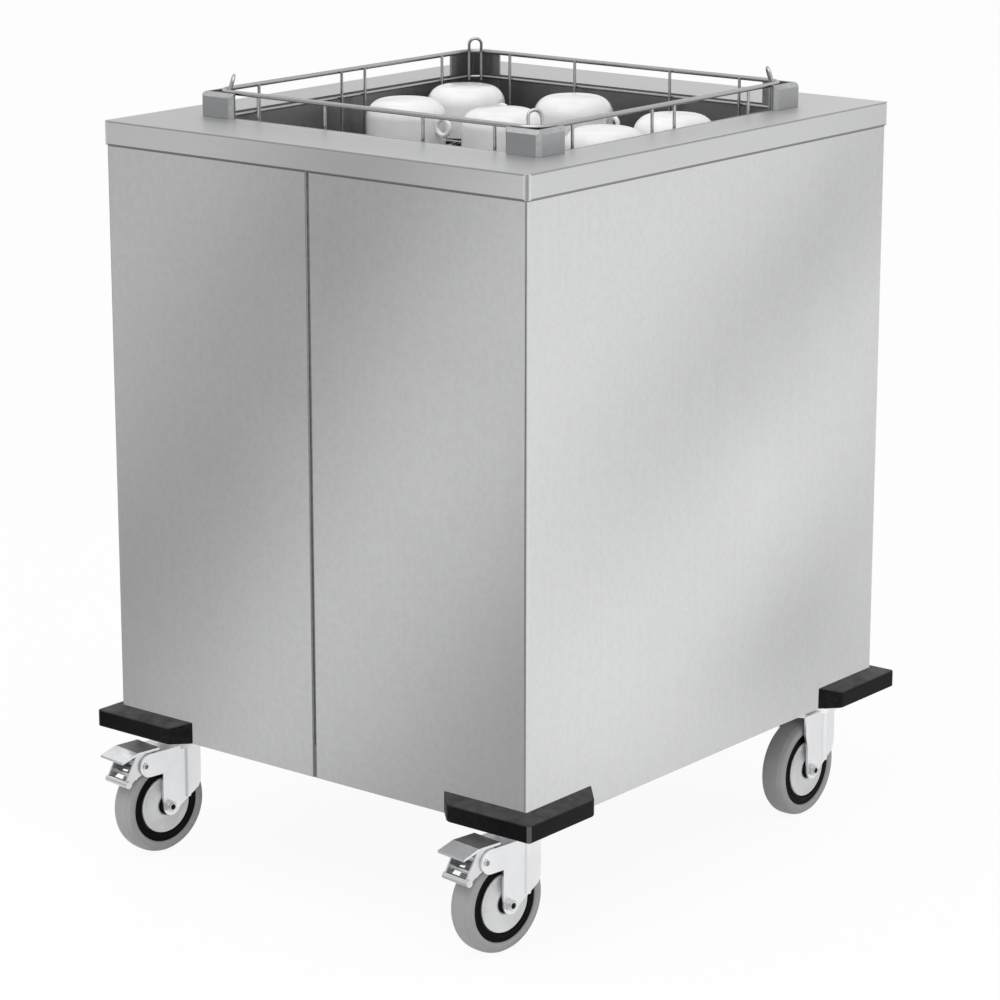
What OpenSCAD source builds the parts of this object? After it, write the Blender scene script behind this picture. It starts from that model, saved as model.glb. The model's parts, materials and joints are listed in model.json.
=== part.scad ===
// Spring-loaded basket dispenser cart: a closed steel cabinet on four swivel casters.
// A sprung platform inside carries wire baskets and keeps the top one at deck height.
// Millimetres, +Z up, front towards -Y, origin on the floor below the middle of the cart.

/* [Cabinet] */
// Space between the well and the shell's outside, at the left and right
side_bay = 67.5; // [60:0.5:90]
// Space between the well and the shell's outside, at the front and back
end_bay = 105; // [95:0.5:145]
// Height of the shell that shows between its lower edge and the deck
body_h = 733; // [700:1:800]
// Thickness of the shell's sheet
shell_t = 1.5; // [1:0.1:2.5]
// Outside radius of the shell's upright bends
shell_r = 4; // [3:0.5:8]
// Width of the joint line between the two shell halves
seam = 2; // [1:0.1:4]
// Width of the flange turned in on each side of the joint line
seam_flange = 12; // [8:1:13]

/* [Top deck] */
// Height of the deck's folded edge
deck_h = 29; // [24:0.5:40]
// Thickness of the deck's sheet
deck_t = 2; // [1.5:0.1:2.5]
// Clearance between the deck's edge and the shell
deck_gap = 0.5; // [0.3:0.1:2]
// Clearance between a basket and the well's opening
well_gap = 5; // [4.5:0.5:10]
// Depth of the collar folded down round the opening
collar_h = 60; // [50:1:65]
// Thickness of the collar
collar_t = 1.5; // [1:0.1:2.5]

/* [Corner guides] */
// Height of a corner guide above the deck
guide_h = 30; // [20:1:45]
// Length of a guide's arm, from its outer corner
guide_arm = 52; // [42:1:70]
// How far a guide laps outwards onto the deck
guide_lap = 6; // [4:0.5:9]
// Thickness of the leaf that hangs into the well
guide_leaf = 2; // [1.5:0.1:3]
// Depth of the leaf below the deck
guide_drop = 40; // [25:1:45]
// Bevel along a guide's outer edges
guide_bevel = 5; // [2:0.5:6]

/* [Base] */
// Height of the base frame
base_h = 40; // [30:1:60]
// Thickness of the base frame's plate
base_t = 3; // [2:0.5:5]
// Width of the frame's lower flange
base_flange = 45; // [30:1:60]
// Side of the square gusset over each caster
gusset = 125; // [115:1:150]
// Thickness of the pan that closes the well's floor
pan_t = 1.5; // [1:0.1:3]
// Width of a corner post's arm
post_arm = 40; // [25:1:45]

/* [Bumpers] */
// How far a bumper stands out from the shell
bumper_t = 22; // [15:0.5:30]
// Length of a bumper's arm along the shell
bumper_arm = 122; // [90:1:160]
// Height of a bumper's outer face
bumper_face = 21; // [14:0.5:26]
// Height of a bumper against the shell
bumper_back = 28; // [27:0.5:36]
// Radius of a bumper's outer corner
bumper_r = 4; // [2:0.5:8]
// Bevel on the outer edge of a bumper's cut ends
bumper_bevel = 3; // [1:0.5:6]
// Distance of a bumper's inner screws from the shell's corner
bumper_screw_x = 72; // [50:1:80]
// Radius of a bumper screw's head
screw_r = 6; // [4:0.5:8]
// Height of a bumper screw's head
screw_h = 4; // [2:0.5:6]

/* [Platform] */
// Height of the empty platform's top below the deck
platform_drop = 70; // [66:1:80]
// Clearance between the platform and the well's corner posts
platform_gap = 6; // [3:0.5:10]
// Depth of the platform's folded rim
platform_rim = 20; // [12:1:24]
// Thickness of the platform's sheet
platform_t = 2; // [1:0.1:3]
// Height of each carriage
carriage_h = 200; // [160:1:240]
// Half the width of each carriage
carriage_x = 150; // [120:1:165]
// Thickness of the carriage's plate
carriage_t = 3; // [2:0.5:4]
// Thickness of the side cheeks
cheek_t = 4; // [3:0.5:6]

/* [Rollers and rails] */
// Radius of a guide roller
roller_r = 14; // [10:0.5:16]
// Width of a guide roller
roller_w = 14; // [8:0.5:18]
// Radius of a roller's shaft
shaft_r = 5; // [4:0.5:7]
// Running clearance of a shaft in its hole
run_gap = 0.05; // [0.02:0.01:0.1]
// Clearance between a roller and the rail's flanges
rail_gap = 0.5; // [0.3:0.1:1.5]
// Distance of a rail's web in from the well's side
rail_in = 40; // [30:1:60]
// Thickness of a rail
rail_t = 2; // [1.5:0.1:3]
// Depth of a rail's channel
rail_depth = 20; // [18:0.5:26]

/* [Springs] */
// Mean radius of a spring's curls
coil_r = 12; // [9:0.5:13]
// Radius of the spring wire
coil_wire_r = 1.6; // [1:0.1:2]
// Number of curls in each spring
coil_turns = 18; // [8:1:20]
// Distance of a spring from the middle of the cart
spring_x = 75; // [40:1:120]
// Distance of the springs in from the shell's sheet
spring_in = 24; // [22:0.5:30]
// Height of the boss that holds a spring's end
boss_h = 10; // [6:0.5:14]
// Radius of the boss
boss_r = 6; // [4:0.5:8]
// Height of the spring beam
beam_h = 22; // [15:1:26]
// Gap between the deck's sheet and the spring beam
beam_gap = 34; // [30:1:38]

/* [Casters] */
// Height of the swivel head, from the underside of the fork's bridge
head_h = 10.5; // [8:0.5:20]
// Height of the bearing cup above the swivel head
race_h = 9; // [6:0.5:14]
// Thickness of a caster's bolting plate
plate_t = 5; // [3:0.5:8]
// Length of the bolting plate, across the cart
plate_w = 96; // [90:1:110]
// Width of the bolting plate, along the cart
plate_d = 84; // [80:1:100]
// Distance of a bolt in from the plate's edges
bolt_in = 10; // [8:0.5:12]
// Radius over the corners of a bolt's head
bolt_r = 6.5; // [5:0.5:8]
// Height of a bolt's head
bolt_h = 5; // [3:0.5:7]
// Distance of a swivel's axis in from the shell's side
caster_in_x = 50.5; // [48:0.5:70]
// Distance of a swivel's axis in from the shell's front or back
caster_in_y = 52; // [48:0.5:70]
// Radius of a wheel
wheel_r = 62.5; // [60:0.5:64]
// Width of a tyre
wheel_w = 32; // [26:0.5:33]
// Inner radius of the tyre
tyre_in_r = 48; // [46:0.5:52]
// Radius of the pale cover on the wheel's side
cover_r = 36; // [30:0.5:40]
// Distance from the swivel's axis to the axle
trail = 38; // [34:0.5:42]
// Angle by which the two front casters are turned
front_turn = -7.5; // [-15:0.5:15]
// Half the clear width inside a fork
fork_in = 19; // [18:0.1:21]
// Thickness of a fork's plate
fork_t = 3; // [2.5:0.1:4]
// Clearance between the wheel and the fork's bridge
bridge_gap = 8; // [6:0.5:9]
// Radius of an axle bolt
axle_r = 5; // [4:0.5:6]
// Radius of a kingpin
king_r = 6; // [5:0.5:8]
// Radius of the bead pressed down each leg
bead_r = 4.5; // [3:0.5:6]
// Height above the axle at which a rear fork's legs have their full width
leg_rise = 48; // [40:1:60]
// Height over which a rear fork's legs widen
leg_taper = 18; // [10:1:30]
// Radius of the swivel head
head_r = 32; // [28:0.5:34]
// Radius of the brake pedal's pin
pedal_pin_r = 4; // [3:0.5:5]
// Distance of a pedal's tip ahead of the axle
pedal_reach = 72; // [70:0.5:80]
// Length of the sloping tip of a pedal's tread
tip_l = 24; // [16:1:30]
// Radius of the rolled lip below a pedal's tread
lip_r = 4.5; // [3:0.5:5]

/* [Basket and cups] */
// Outer side of the square wire basket
basket = 500; // [480:1:501]
// Height of the basket's top wire above the deck
rim_up = 30; // [20:0.5:40]
// Diameter of the basket's top wire
rim_wire = 6; // [4:0.5:8]
// Diameter of the basket's other wires
wire = 4; // [3:0.5:5]
// Depth by which touching wires sink into each other at their welds
touch = 0.05; // [0.02:0.01:0.08]
// Radius of the basket's corners, on the top wire's centre line
basket_r = 25; // [15:1:40]
// Distance from the top wire down to the middle wire
mid_drop = 33; // [25:1:40]
// Number of floor wires each way
floor_wires = 8; // [4:1:10]
// Clearance under the basket and under the cups
rest_gap = 0.3; // [0.2:0.05:0.5]
// Half the width of a corner loop, between its legs' centre lines
loop_half = 8; // [6:0.5:10]
// Lean of a corner loop's top towards the middle
loop_lean = 17; // [5:1:25]
// Radius of the bend in a loop's legs
loop_bend = 8; // [5:0.5:12]
// Straight length of a loop above the bend
loop_rise = 9.5; // [6:0.5:14]
// Radius of a cup
cup_r = 50; // [40:0.5:52]
// Height of a cup
cup_h = 64; // [50:0.5:66]
// Wall of a cup
cup_t = 3.5; // [2.5:0.1:4]
// Radius of a cup's shoulder
cup_shoulder = 19; // [12:0.5:24]
// Mean radius of a cup's ring handle
cup_ring_r = 10; // [8:0.5:12]
// Thickness of the ring handle, as a radius
cup_ring_t = 3; // [2:0.1:3.4]
// Distance from a cup at the side to the outside of the basket
cup_in = 14; // [10:0.5:20]

/* [Hidden] */
$fn = 48;
eps = 0.01;
bridge_z = 2 * wheel_r + bridge_gap;
head_z = bridge_z + head_h;
race_z = head_z + 0.5;
plate_z = race_z + race_h;
caster_h = plate_z + plate_t;
base_z = caster_h;
deck_top = base_z + body_h + deck_h;
sheet_z = deck_top - deck_t;
pan_top = base_z + base_h + pan_t;
well = basket + 2 * well_gap;
body_w = well + 2 * side_bay;
body_d = well + 2 * end_bay;
inner_w = body_w - 2 * shell_t;
inner_d = body_d - 2 * shell_t;
deck_over = deck_gap + deck_t;

// The two compartments between the well and the shell, front and back
track_y = (well / 2 + collar_t + inner_d / 2) / 2;
guide_in = well / 2 - guide_leaf;
platform_half = guide_in - platform_gap;
platform_top = deck_top - platform_drop;
platform_low = platform_top - platform_t - platform_rim;
arm_z = platform_low + 1;
arm_h = 16;
arm_w = 30;
arm_x = 95;
carriage_top = arm_z + arm_h;
carriage_low = carriage_top - carriage_h;
plate_y = track_y - roller_r - 2;
spring_y = inner_d / 2 - spring_in;
shelf_y = spring_y + boss_r + 2;
rail_x = well / 2 - rail_in;
shaft_up_z = carriage_top - 22;
shaft_low_z = carriage_low + 24;
cheek_low_y = track_y + shaft_r + 6;
shaft_half = rail_x - 1;
rail_half_y = roller_r + rail_gap + rail_t;
beam_top = sheet_z - beam_gap;
beam_low = beam_top - beam_h;
beam_y = track_y - rail_half_y;
beam_d = spring_y + boss_r + 4 - beam_y;
spring_top = beam_low - boss_h;
spring_low = carriage_low + carriage_t + boss_h;

// Casters
king_x = body_w / 2 - caster_in_x;
king_y = body_d / 2 - caster_in_y;
fork_top = bridge_z + fork_t + 1;
arm_eye_y = -29;
arm_eye_z = bridge_z + fork_t + 1 - wheel_r - 15;
arm_eye_r = 15;
pin_y = -36;
pin_z = arm_eye_z + 0.5;
tread_z = fork_top - wheel_r + 2.5;
cheek_in = wheel_w / 2 + 0.5;
cheek_out = fork_in - 0.3;
lip_y = pedal_reach - 10;
lip_z = pin_z - 19;
tread_bend = pedal_reach - tip_l;
tread_half = fork_in + fork_t;

// Where the parts stand: [side, end, turn], side -1 left, end -1 front
FL = [-1, -1, front_turn];
FR = [1, -1, front_turn];
RL = [-1, 1, 0];
RR = [1, 1, 0];

// The brake pedals reach further forwards than the bumpers do backwards, so the whole
// cart is moved back by half the difference and the origin lies below its middle.
turn = abs(front_turn);
front_reach = king_y + (trail + pedal_reach) * cos(turn) + tread_half * sin(turn);
rear_reach = body_d / 2 + bumper_t;
mid_y = (front_reach - rear_reach) / 2;

// The basket
rim_z = deck_top + rim_up;
rim_c = basket / 2 - rim_wire / 2;
mid_z = rim_z - mid_drop;
ring_low_z = platform_top + rest_gap + wire / 2;
floor_up_z = ring_low_z + wire - touch;
floor_top = floor_up_z + wire / 2;
post_c = rim_c - rim_wire / 2 - wire / 2 + touch;
ring_c = post_c + wire - touch;
side_run = rim_c - basket_r;
cup_z = floor_top + rest_gap;

// Cups as they stand: [x, y, direction of the handle]. Two stand against the right side
// and two near the left side, and keep their distance from it.
cup_side = basket / 2 - cup_r - cup_in;
cups_at = [
    [30 - cup_side, 1, 0], [11 - cup_side, 143, 0], [-8, 8, 0],
    [-8, 152, 0], [cup_side, -40, 90], [cup_side, 100, 90]
];

// Outline helpers
module round_square(w, d, r) {
    square([w - 2 * r, d], center = true);
    square([w, d - 2 * r], center = true);
    for (x = [-1, 1], y = [-1, 1])
        translate([x * (w / 2 - r), y * (d / 2 - r)]) circle(r = r);
}
module square_ring(out_w, out_d, in_w, in_d) {
    difference() {
        square([out_w, out_d], center = true);
        square([in_w, in_d], center = true);
    }
}
// Everything is drawn about the cabinet's middle and moved to the origin here.
module cart() {
    translate([0, mid_y, 0]) children();
}
// One corner of the cabinet: the corner is at the local origin, its two faces run
// along local -X and +Y, and the outside is towards +X and -Y.
module at_corner(c, w, d) {
    cart() scale([c[0], -c[1], 1]) translate([w / 2, -d / 2, 0]) children();
}
module at_end(e) {
    cart() scale([1, e, 1]) children();
}
module at_caster(c) {
    cart() translate([c[0] * king_x, c[1] * king_y, 0]) rotate([0, 0, c[2]]) children();
}

// Base frame: an upright wall, a lower flange and a gusset over each caster
module frame_outline() {
    round_square(inner_w, inner_d, shell_r);
}
module base_frame() color("silver") cart() translate([0, 0, base_z]) {
    linear_extrude(base_h) difference() {
        frame_outline();
        square([inner_w - 2 * base_t, inner_d - 2 * base_t], center = true);
    }
    linear_extrude(base_t) intersection() {
        frame_outline();
        union() {
            square_ring(inner_w, inner_d, inner_w - 2 * base_flange, inner_d - 2 * base_flange);
            for (x = [-1, 1], y = [-1, 1])
                translate([x * (inner_w - gusset) / 2, y * (inner_d - gusset) / 2])
                    square([gusset, gusset], center = true);
        }
    }
}

// Floor pan, laid on the base frame
module floor_pan() color("lightgray") cart()
    translate([0, 0, base_z + base_h]) linear_extrude(pan_t) frame_outline();

// Half of the shell: a sheet bent round one side, with a flange at each joint line.
// The flanges start above the floor pan and stop below the deck.
module half_shell(side) cart() scale([side, 1, 1]) {
    flange_w = seam_flange + shell_t;
    flange_low = pan_top + 0.5;
    translate([0, 0, base_z]) linear_extrude(sheet_z - base_z) intersection() {
        difference() {
            round_square(body_w, body_d, shell_r);
            round_square(inner_w, inner_d, shell_r - shell_t);
        }
        translate([seam / 2, -body_d / 2]) square([body_w, body_d]);
    }
    for (y = [-1, 1]) translate([seam / 2, y * (body_d - flange_w) / 2 - flange_w / 2, flange_low])
        cube([shell_t, flange_w, sheet_z - 0.5 - flange_low]);
}
module shell_left() color("silver") half_shell(-1);
module shell_right() color("silver") half_shell(1);

// Top deck: a shallow inverted tray with a collar folded down round the well
module top_deck() color("lightgray") cart() {
    deck_w = body_w + 2 * deck_over;
    deck_d = body_d + 2 * deck_over;
    deck_r = shell_r + deck_over;
    difference() {
        translate([0, 0, sheet_z - deck_h + deck_t]) linear_extrude(deck_h)
            round_square(deck_w, deck_d, deck_r);
        translate([0, 0, sheet_z - deck_h]) linear_extrude(deck_h)
            round_square(deck_w - 2 * deck_t, deck_d - 2 * deck_t, deck_r - deck_t);
        cube([well, well, 3 * deck_top], center = true);
    }
    translate([0, 0, deck_top - collar_h]) linear_extrude(collar_h)
        square_ring(well + 2 * collar_t, well + 2 * collar_t, well, well);
}

// Corner post: a steel angle from the floor pan up to the guide's leaf
module corner_post(c) at_corner(c, well, well)
    translate([0, 0, pan_top]) linear_extrude(deck_top - guide_drop - pan_top) difference() {
        translate([-post_arm, 0]) square(post_arm);
        translate([-post_arm - 1, guide_leaf]) square([post_arm + 1 - guide_leaf, post_arm]);
    }
module posts() color("gray") for (c = [FL, FR, RL, RR]) corner_post(c);

// Corner guide: a bevelled angle that laps onto the deck, with a leaf down the well
module corner_guide(c) at_corner(c, well, well) {
    out = guide_lap;
    leaf = guide_arm - guide_lap;
    difference() {
        translate([out - guide_arm, -out, deck_top]) cube([guide_arm, guide_arm, guide_h]);
        translate([out - guide_arm - 1, guide_leaf, deck_top - 1])
            cube([guide_arm - out - guide_leaf + 1, guide_arm, guide_h + 2]);
        guide_bevels(out);
    }
    difference() {
        translate([-leaf, 0, deck_top - guide_drop]) cube([leaf, leaf, guide_drop + 1]);
        translate([-leaf - 1, guide_leaf, deck_top - guide_drop - 1])
            cube([leaf + 1 - guide_leaf, leaf, guide_drop + 3]);
    }
}
module guide_bevels(out) {
    side = guide_bevel * sqrt(2);
    top = deck_top + guide_h;
    long = 3 * guide_arm;
    // along the two top edges
    translate([0, -out, top]) rotate([45, 0, 0]) cube([long, side, side], center = true);
    translate([out, 0, top]) rotate([0, 45, 0]) cube([side, long, side], center = true);
    // down the outer corner and down the end of each arm
    for (p = [[out, -out], [out - guide_arm, -out], [out, guide_arm - out]])
        translate([p[0], p[1], top]) rotate([0, 0, 45]) cube([side, side, long], center = true);
}
module guides() color("silver") for (c = [FL, FR, RL, RR]) corner_guide(c);

// Corner bumper: a sloped rubber angle with ends cut at 45 degrees
module bumper_arm_solid() {
    intersection() {
        linear_extrude(bumper_back) polygon([
            [-bumper_arm, 0], [0, 0],
            [bumper_t, -bumper_t], [bumper_t - bumper_arm + bumper_bevel, -bumper_t],
            [bumper_t - bumper_arm - bumper_bevel * 0.7, bumper_bevel * 0.7 - bumper_t]
        ]);
        translate([bumper_t + 1, 0, 0]) rotate([90, 0, -90])
            linear_extrude(bumper_arm + bumper_t + 2) polygon([
                [0, 0], [bumper_t, 0], [bumper_t, bumper_face], [0, bumper_back]
            ]);
    }
}
module corner_bumper(c) color("dimgray") at_corner(c, body_w, body_d)
    translate([0, 0, base_z]) intersection() {
        union() {
            bumper_arm_solid();
            mirror([1, 1, 0]) bumper_arm_solid();
        }
        translate([bumper_t - bumper_arm * 2, bumper_arm * 2 - bumper_t, -1])
            linear_extrude(bumper_back + 2)
                round_square(bumper_arm * 4, bumper_arm * 4, bumper_r);
    }
module bumper_fl() corner_bumper(FL);
module bumper_fr() corner_bumper(FR);
module bumper_rl() corner_bumper(RL);
module bumper_rr() corner_bumper(RR);

// Spring beam: a channel across the compartment, with a boss for each spring
module spring_beam(e) at_end(e) {
    difference() {
        translate([-inner_w / 2, beam_y, beam_low]) cube([inner_w, beam_d, beam_h]);
        translate([-inner_w / 2 - 1, beam_y + base_t, beam_low + base_t])
            cube([inner_w + 2, beam_d - 2 * base_t, beam_h]);
    }
    for (x = [-1, 1]) translate([x * spring_x, spring_y, spring_top])
        cylinder(r = boss_r, h = boss_h + 1);
}
module beams() color("silver") for (e = [-1, 1]) spring_beam(e);

// Rails: two upright channels, open towards each other, that the rollers run in
module rail_pair(e) at_end(e)
    translate([0, track_y, pan_top]) linear_extrude(beam_low - pan_top)
        for (x = [-1, 1]) scale([x, 1]) difference() {
            translate([rail_x - rail_depth, -rail_half_y])
                square([rail_depth + rail_t, 2 * rail_half_y]);
            translate([rail_x - rail_depth - 1, rail_t - rail_half_y])
                square([rail_depth + 1, 2 * (rail_half_y - rail_t)]);
        }
module rails() color("silver") for (e = [-1, 1]) rail_pair(e);

// Caster plates: each with its bearing cup, kingpin and nut
module caster_plate() {
    translate([0, 0, plate_z]) linear_extrude(plate_t) round_square(plate_w, plate_d, 6);
    translate([0, 0, race_z]) cylinder(r1 = head_r, r2 = head_r + 4, h = plate_z - race_z + eps);
    nut_z = bridge_z - 8;
    translate([0, 0, nut_z]) cylinder(r = king_r, h = race_z - nut_z + 1);
    translate([0, 0, nut_z]) cylinder(r = king_r + 4, h = 8 - 0.2);
}
module caster_plates() color("silver")
    for (c = [FL, FR, RL, RR]) at_caster([c[0], c[1], 0]) caster_plate();

// Fasteners: the bumpers' screw heads inside the base frame and the casters' bolt heads
module fasteners() color("gray") {
    for (c = [FL, FR, RL, RR]) {
        at_corner(c, inner_w - 2 * base_t, inner_d - 2 * base_t)
            translate([0, 0, base_z + bumper_face / 2]) {
                translate([-bumper_screw_x, 0, 0]) rotate([-90, 0, 0])
                    cylinder(r = screw_r, h = screw_h);
                translate([0, bumper_screw_x, 0]) rotate([0, -90, 0])
                    cylinder(r = screw_r, h = screw_h);
            }
        at_caster([c[0], c[1], 0]) for (x = [-1, 1], y = [-1, 1])
            translate([x * (plate_w / 2 - bolt_in), y * (plate_d / 2 - bolt_in), plate_z - bolt_h])
                cylinder(r = bolt_r, h = bolt_h, $fn = 6);
    }
}

// Platform: a folded tray that the basket stands on
module platform_tray() color("lightgray") cart() {
    side = 2 * platform_half;
    difference() {
        translate([0, 0, platform_low]) linear_extrude(platform_top - platform_low)
            round_square(side, side, 8);
        translate([0, 0, platform_low - platform_t])
            linear_extrude(platform_top - platform_low)
                round_square(side - 2 * platform_t, side - 2 * platform_t, 8 - platform_t);
    }
}

// Carriage: a plate hung from the platform, with cheeks for the roller shafts
module carriage(e) color("silver") at_end(e) {
    translate([-carriage_x, plate_y - carriage_t, carriage_low])
        cube([2 * carriage_x, carriage_t, carriage_h]);
    translate([-carriage_x, plate_y - carriage_t, carriage_low])
        cube([2 * carriage_x, shelf_y - plate_y + carriage_t, carriage_t]);
    for (x = [-1, 1]) {
        translate([x * arm_x - arm_w / 2, platform_half, arm_z])
            cube([arm_w, plate_y - platform_half - carriage_t / 2, arm_h]);
        translate([x * spring_x, spring_y, carriage_low + carriage_t / 2])
            cylinder(r = boss_r, h = boss_h + carriage_t / 2);
        difference() {
            translate([x * (carriage_x - cheek_t / 2) - cheek_t / 2, plate_y - carriage_t, carriage_low])
                cube([cheek_t, cheek_low_y - plate_y + carriage_t, carriage_h]);
            for (z = [shaft_up_z, shaft_low_z])
                translate([x * carriage_x, track_y, z]) rotate([0, 90, 0])
                    cylinder(r = shaft_r + run_gap, h = 4 * cheek_t, center = true);
        }
    }
}
module carriage_front() carriage(-1);
module carriage_rear() carriage(1);

// Roller set: one shaft with a roller at each end
module roller_set(e, z) color("whitesmoke") at_end(e) translate([0, track_y, z])
    rotate([0, 90, 0]) {
        cylinder(r = shaft_r, h = 2 * shaft_half, center = true);
        for (x = [-1, 1]) {
            translate([0, 0, x * (shaft_half - roller_w / 2)])
                cylinder(r = roller_r, h = roller_w, center = true);
            translate([0, 0, x * (carriage_x + 1.5)])
                cylinder(r = shaft_r + 3, h = 2, center = true);
        }
    }
module rollers_front_upper() roller_set(-1, shaft_up_z);
module rollers_front_lower() roller_set(-1, shaft_low_z);
module rollers_rear_upper() roller_set(1, shaft_up_z);
module rollers_rear_lower() roller_set(1, shaft_low_z);

// Spring: one unbroken wire that runs straight out of its lower boss, spirals out,
// makes its curls and spirals in again to the upper boss.
coil_sides = 6;
coil_rings = 8;
tail_rings = 6;
tail_turn = 270;
straight = 2 * coil_wire_r + 2;
tail_rise = 9;
coil_n = coil_turns * coil_rings;
coil_last = coil_n + 2 * tail_rings;
coil_len = spring_top - spring_low;
coil_rise = coil_len - 2 * straight - 2 * tail_rise;
function smooth(t) = t * t * (3 - 2 * t);
function coil_angle(i) =
    i < tail_rings ? tail_turn * i / tail_rings
    : i <= tail_rings + coil_n ? tail_turn + 360 * (i - tail_rings) / coil_rings
    : tail_turn + 360 * coil_turns + tail_turn * (i - tail_rings - coil_n) / tail_rings;
function coil_radius(i) =
    i < tail_rings ? coil_r * smooth(i / tail_rings)
    : i <= tail_rings + coil_n ? coil_r
    : coil_r * smooth((coil_last - i) / tail_rings);
function coil_height(i) = straight + (
    i < tail_rings ? tail_rise * i / tail_rings
    : i <= tail_rings + coil_n ? tail_rise + coil_rise * (i - tail_rings) / coil_n
    : tail_rise + coil_rise + tail_rise * (i - tail_rings - coil_n) / tail_rings);
function coil_point(i) =
    [coil_radius(i) * cos(coil_angle(i)), coil_radius(i) * sin(coil_angle(i)), coil_height(i)];
spring_path = concat(
    [[0, 0, 0]],
    [for (i = [0:coil_last]) coil_point(i)],
    [[0, 0, coil_len]]
);
function unit(v) = v / norm(v);
function path_angle(i) = coil_angle(min(max(i - 1, 0), coil_last));
function path_way(p, i) =
    i <= 1 || i >= len(p) - 2 ? [0, 0, 1] : unit(p[i + 1] - p[i - 1]);
function ring_points(p, i) =
    let (
        way = path_way(p, i),
        out = [cos(path_angle(i)), sin(path_angle(i)), 0],
        a = unit(out - (out * way) * way),
        b = cross(way, a)
    )
    [for (k = [0:coil_sides - 1])
        p[i] + coil_wire_r * (cos(360 * k / coil_sides) * a + sin(360 * k / coil_sides) * b)];
module wire_tube(p) {
    n = len(p);
    s = coil_sides;
    polyhedron(
        points = [for (i = [0:n - 1]) each ring_points(p, i)],
        faces = concat(
            [for (k = [1:s - 2]) [0, k, k + 1]],
            [for (i = [0:n - 2], k = [0:s - 1]) each [
                [i * s + k, (i + 1) * s + k, (i + 1) * s + (k + 1) % s],
                [i * s + k, (i + 1) * s + (k + 1) % s, i * s + (k + 1) % s]
            ]],
            [for (k = [1:s - 2]) [(n - 1) * s, (n - 1) * s + k + 1, (n - 1) * s + k]]
        )
    );
}
// Least distance between two points of the wire that lie at least half a curl apart
spring_gap = min([for (i = [0:len(spring_path) - 1], j = [i + coil_rings / 2:1:len(spring_path) - 1])
    norm(spring_path[i] - spring_path[j])]) - 2 * coil_wire_r;
echo(spring_least_gap_to_itself_mm = spring_gap);
module spring(c) color("gray")
    at_end(c[1]) translate([c[0] * spring_x, spring_y, spring_low]) wire_tube(spring_path);
module spring_fl() spring(FL);
module spring_fr() spring(FR);
module spring_rl() spring(RL);
module spring_rr() spring(RR);

// Fork: two pressed legs and a bridge below the swivel head. Legs are drawn with the
// axle at the origin, y towards the swivel's axis.
module fork_leg() {
    top = fork_top - wheel_r;
    arm_low = arm_eye_z - arm_eye_r;
    difference() {
        union() {
            translate([4, 0]) circle(r = 13);
            translate([arm_eye_y, arm_eye_z]) circle(r = arm_eye_r);
            polygon([
                [-9, 0], [-9, arm_low], [arm_eye_y, arm_low], [arm_eye_y, top],
                [trail + 13, top], [trail + 13, 24], [trail + 9, 15], [16.2, -4.7]
            ]);
        }
        circle(r = axle_r + run_gap);
    }
}
module rear_leg() {
    top = fork_top - wheel_r;
    difference() {
        union() {
            translate([4, 0]) circle(r = 13);
            polygon([
                [-9, 0], [-9, leg_rise - leg_taper], [-14, leg_rise], [-14, top],
                [trail + 13, top], [trail + 13, 24], [trail + 9, 15], [16.2, -4.7]
            ]);
        }
        circle(r = axle_r + run_gap);
    }
}
module fork(c, braked) color("silver") at_caster(c) {
    bead_y = 30 - trail;
    difference() {
        for (x = [-1, 1]) translate([x * (fork_in + fork_t / 2), -trail, wheel_r])
            rotate([90, 0, 90]) linear_extrude(fork_t, center = true) {
                if (braked) fork_leg();
                else rear_leg();
            }
        if (braked) translate([0, pin_y - trail, pin_z + wheel_r]) rotate([0, 90, 0])
            cylinder(r = pedal_pin_r + run_gap, h = 4 * fork_in, center = true);
    }
    // pressed bead down each leg
    for (x = [-1, 1]) intersection() {
        translate([x * (fork_in + fork_t - 1.5), bead_y, wheel_r + 6])
            cylinder(r = bead_r, h = fork_top - wheel_r - 10);
        translate([x * (fork_in + fork_t - 1 + bead_r), bead_y, fork_top / 2])
            cube([2 * bead_r, 3 * bead_r, 2 * fork_top], center = true);
    }
    // bridge and swivel head
    difference() {
        union() {
            translate([-fork_in - fork_t / 2, -trail - 8, bridge_z])
                cube([2 * fork_in + fork_t, trail + 21, fork_t + 1]);
            translate([0, 0, bridge_z]) cylinder(r = head_r - 3, h = head_z - bridge_z);
        }
        translate([0, 0, bridge_z - 1]) cylinder(r = king_r + run_gap, h = 30);
    }
}
module fork_fl() fork(FL, true);
module fork_fr() fork(FR, true);
module fork_rl() fork(RL, false);
module fork_rr() fork(RR, false);

// Turns children so that their axis lies on the caster's axle
module at_axle(c) {
    at_caster(c) translate([0, -trail, wheel_r]) rotate([0, 90, 0]) children();
}
// Axle bolt, with a head and a nut on the fork's outer faces
module axle(c) color("gray") at_axle(c) {
    seat = fork_in + fork_t;
    cylinder(r = axle_r, h = 2 * (seat + 7), center = true);
    for (z = [-1, 1]) translate([0, 0, z * (seat + 2.5)])
        cylinder(r = 8, h = 5, center = true, $fn = 6);
}
module axle_fl() axle(FL);
module axle_fr() axle(FR);
module axle_rl() axle(RL);
module axle_rr() axle(RR);

// Rim: a black nylon wheel body with a boss for the axle
module rim(c) color("#202020") at_axle(c) rotate_extrude($fn = 96) {
    half = wheel_w / 2;
    translate([tyre_in_r - 5, -half + 1]) square([5, wheel_w - 2]);
    translate([cover_r + 1, -half + 4]) square([tyre_in_r - cover_r - 2, wheel_w - 8]);
    translate([axle_r + run_gap, -5]) square([tyre_in_r - axle_r - 2, 10]);
    translate([axle_r + run_gap, -fork_in + 0.3]) square([7, 2 * fork_in - 0.6]);
}
module rim_fl() rim(FL);
module rim_fr() rim(FR);
module rim_rl() rim(RL);
module rim_rr() rim(RR);

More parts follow.
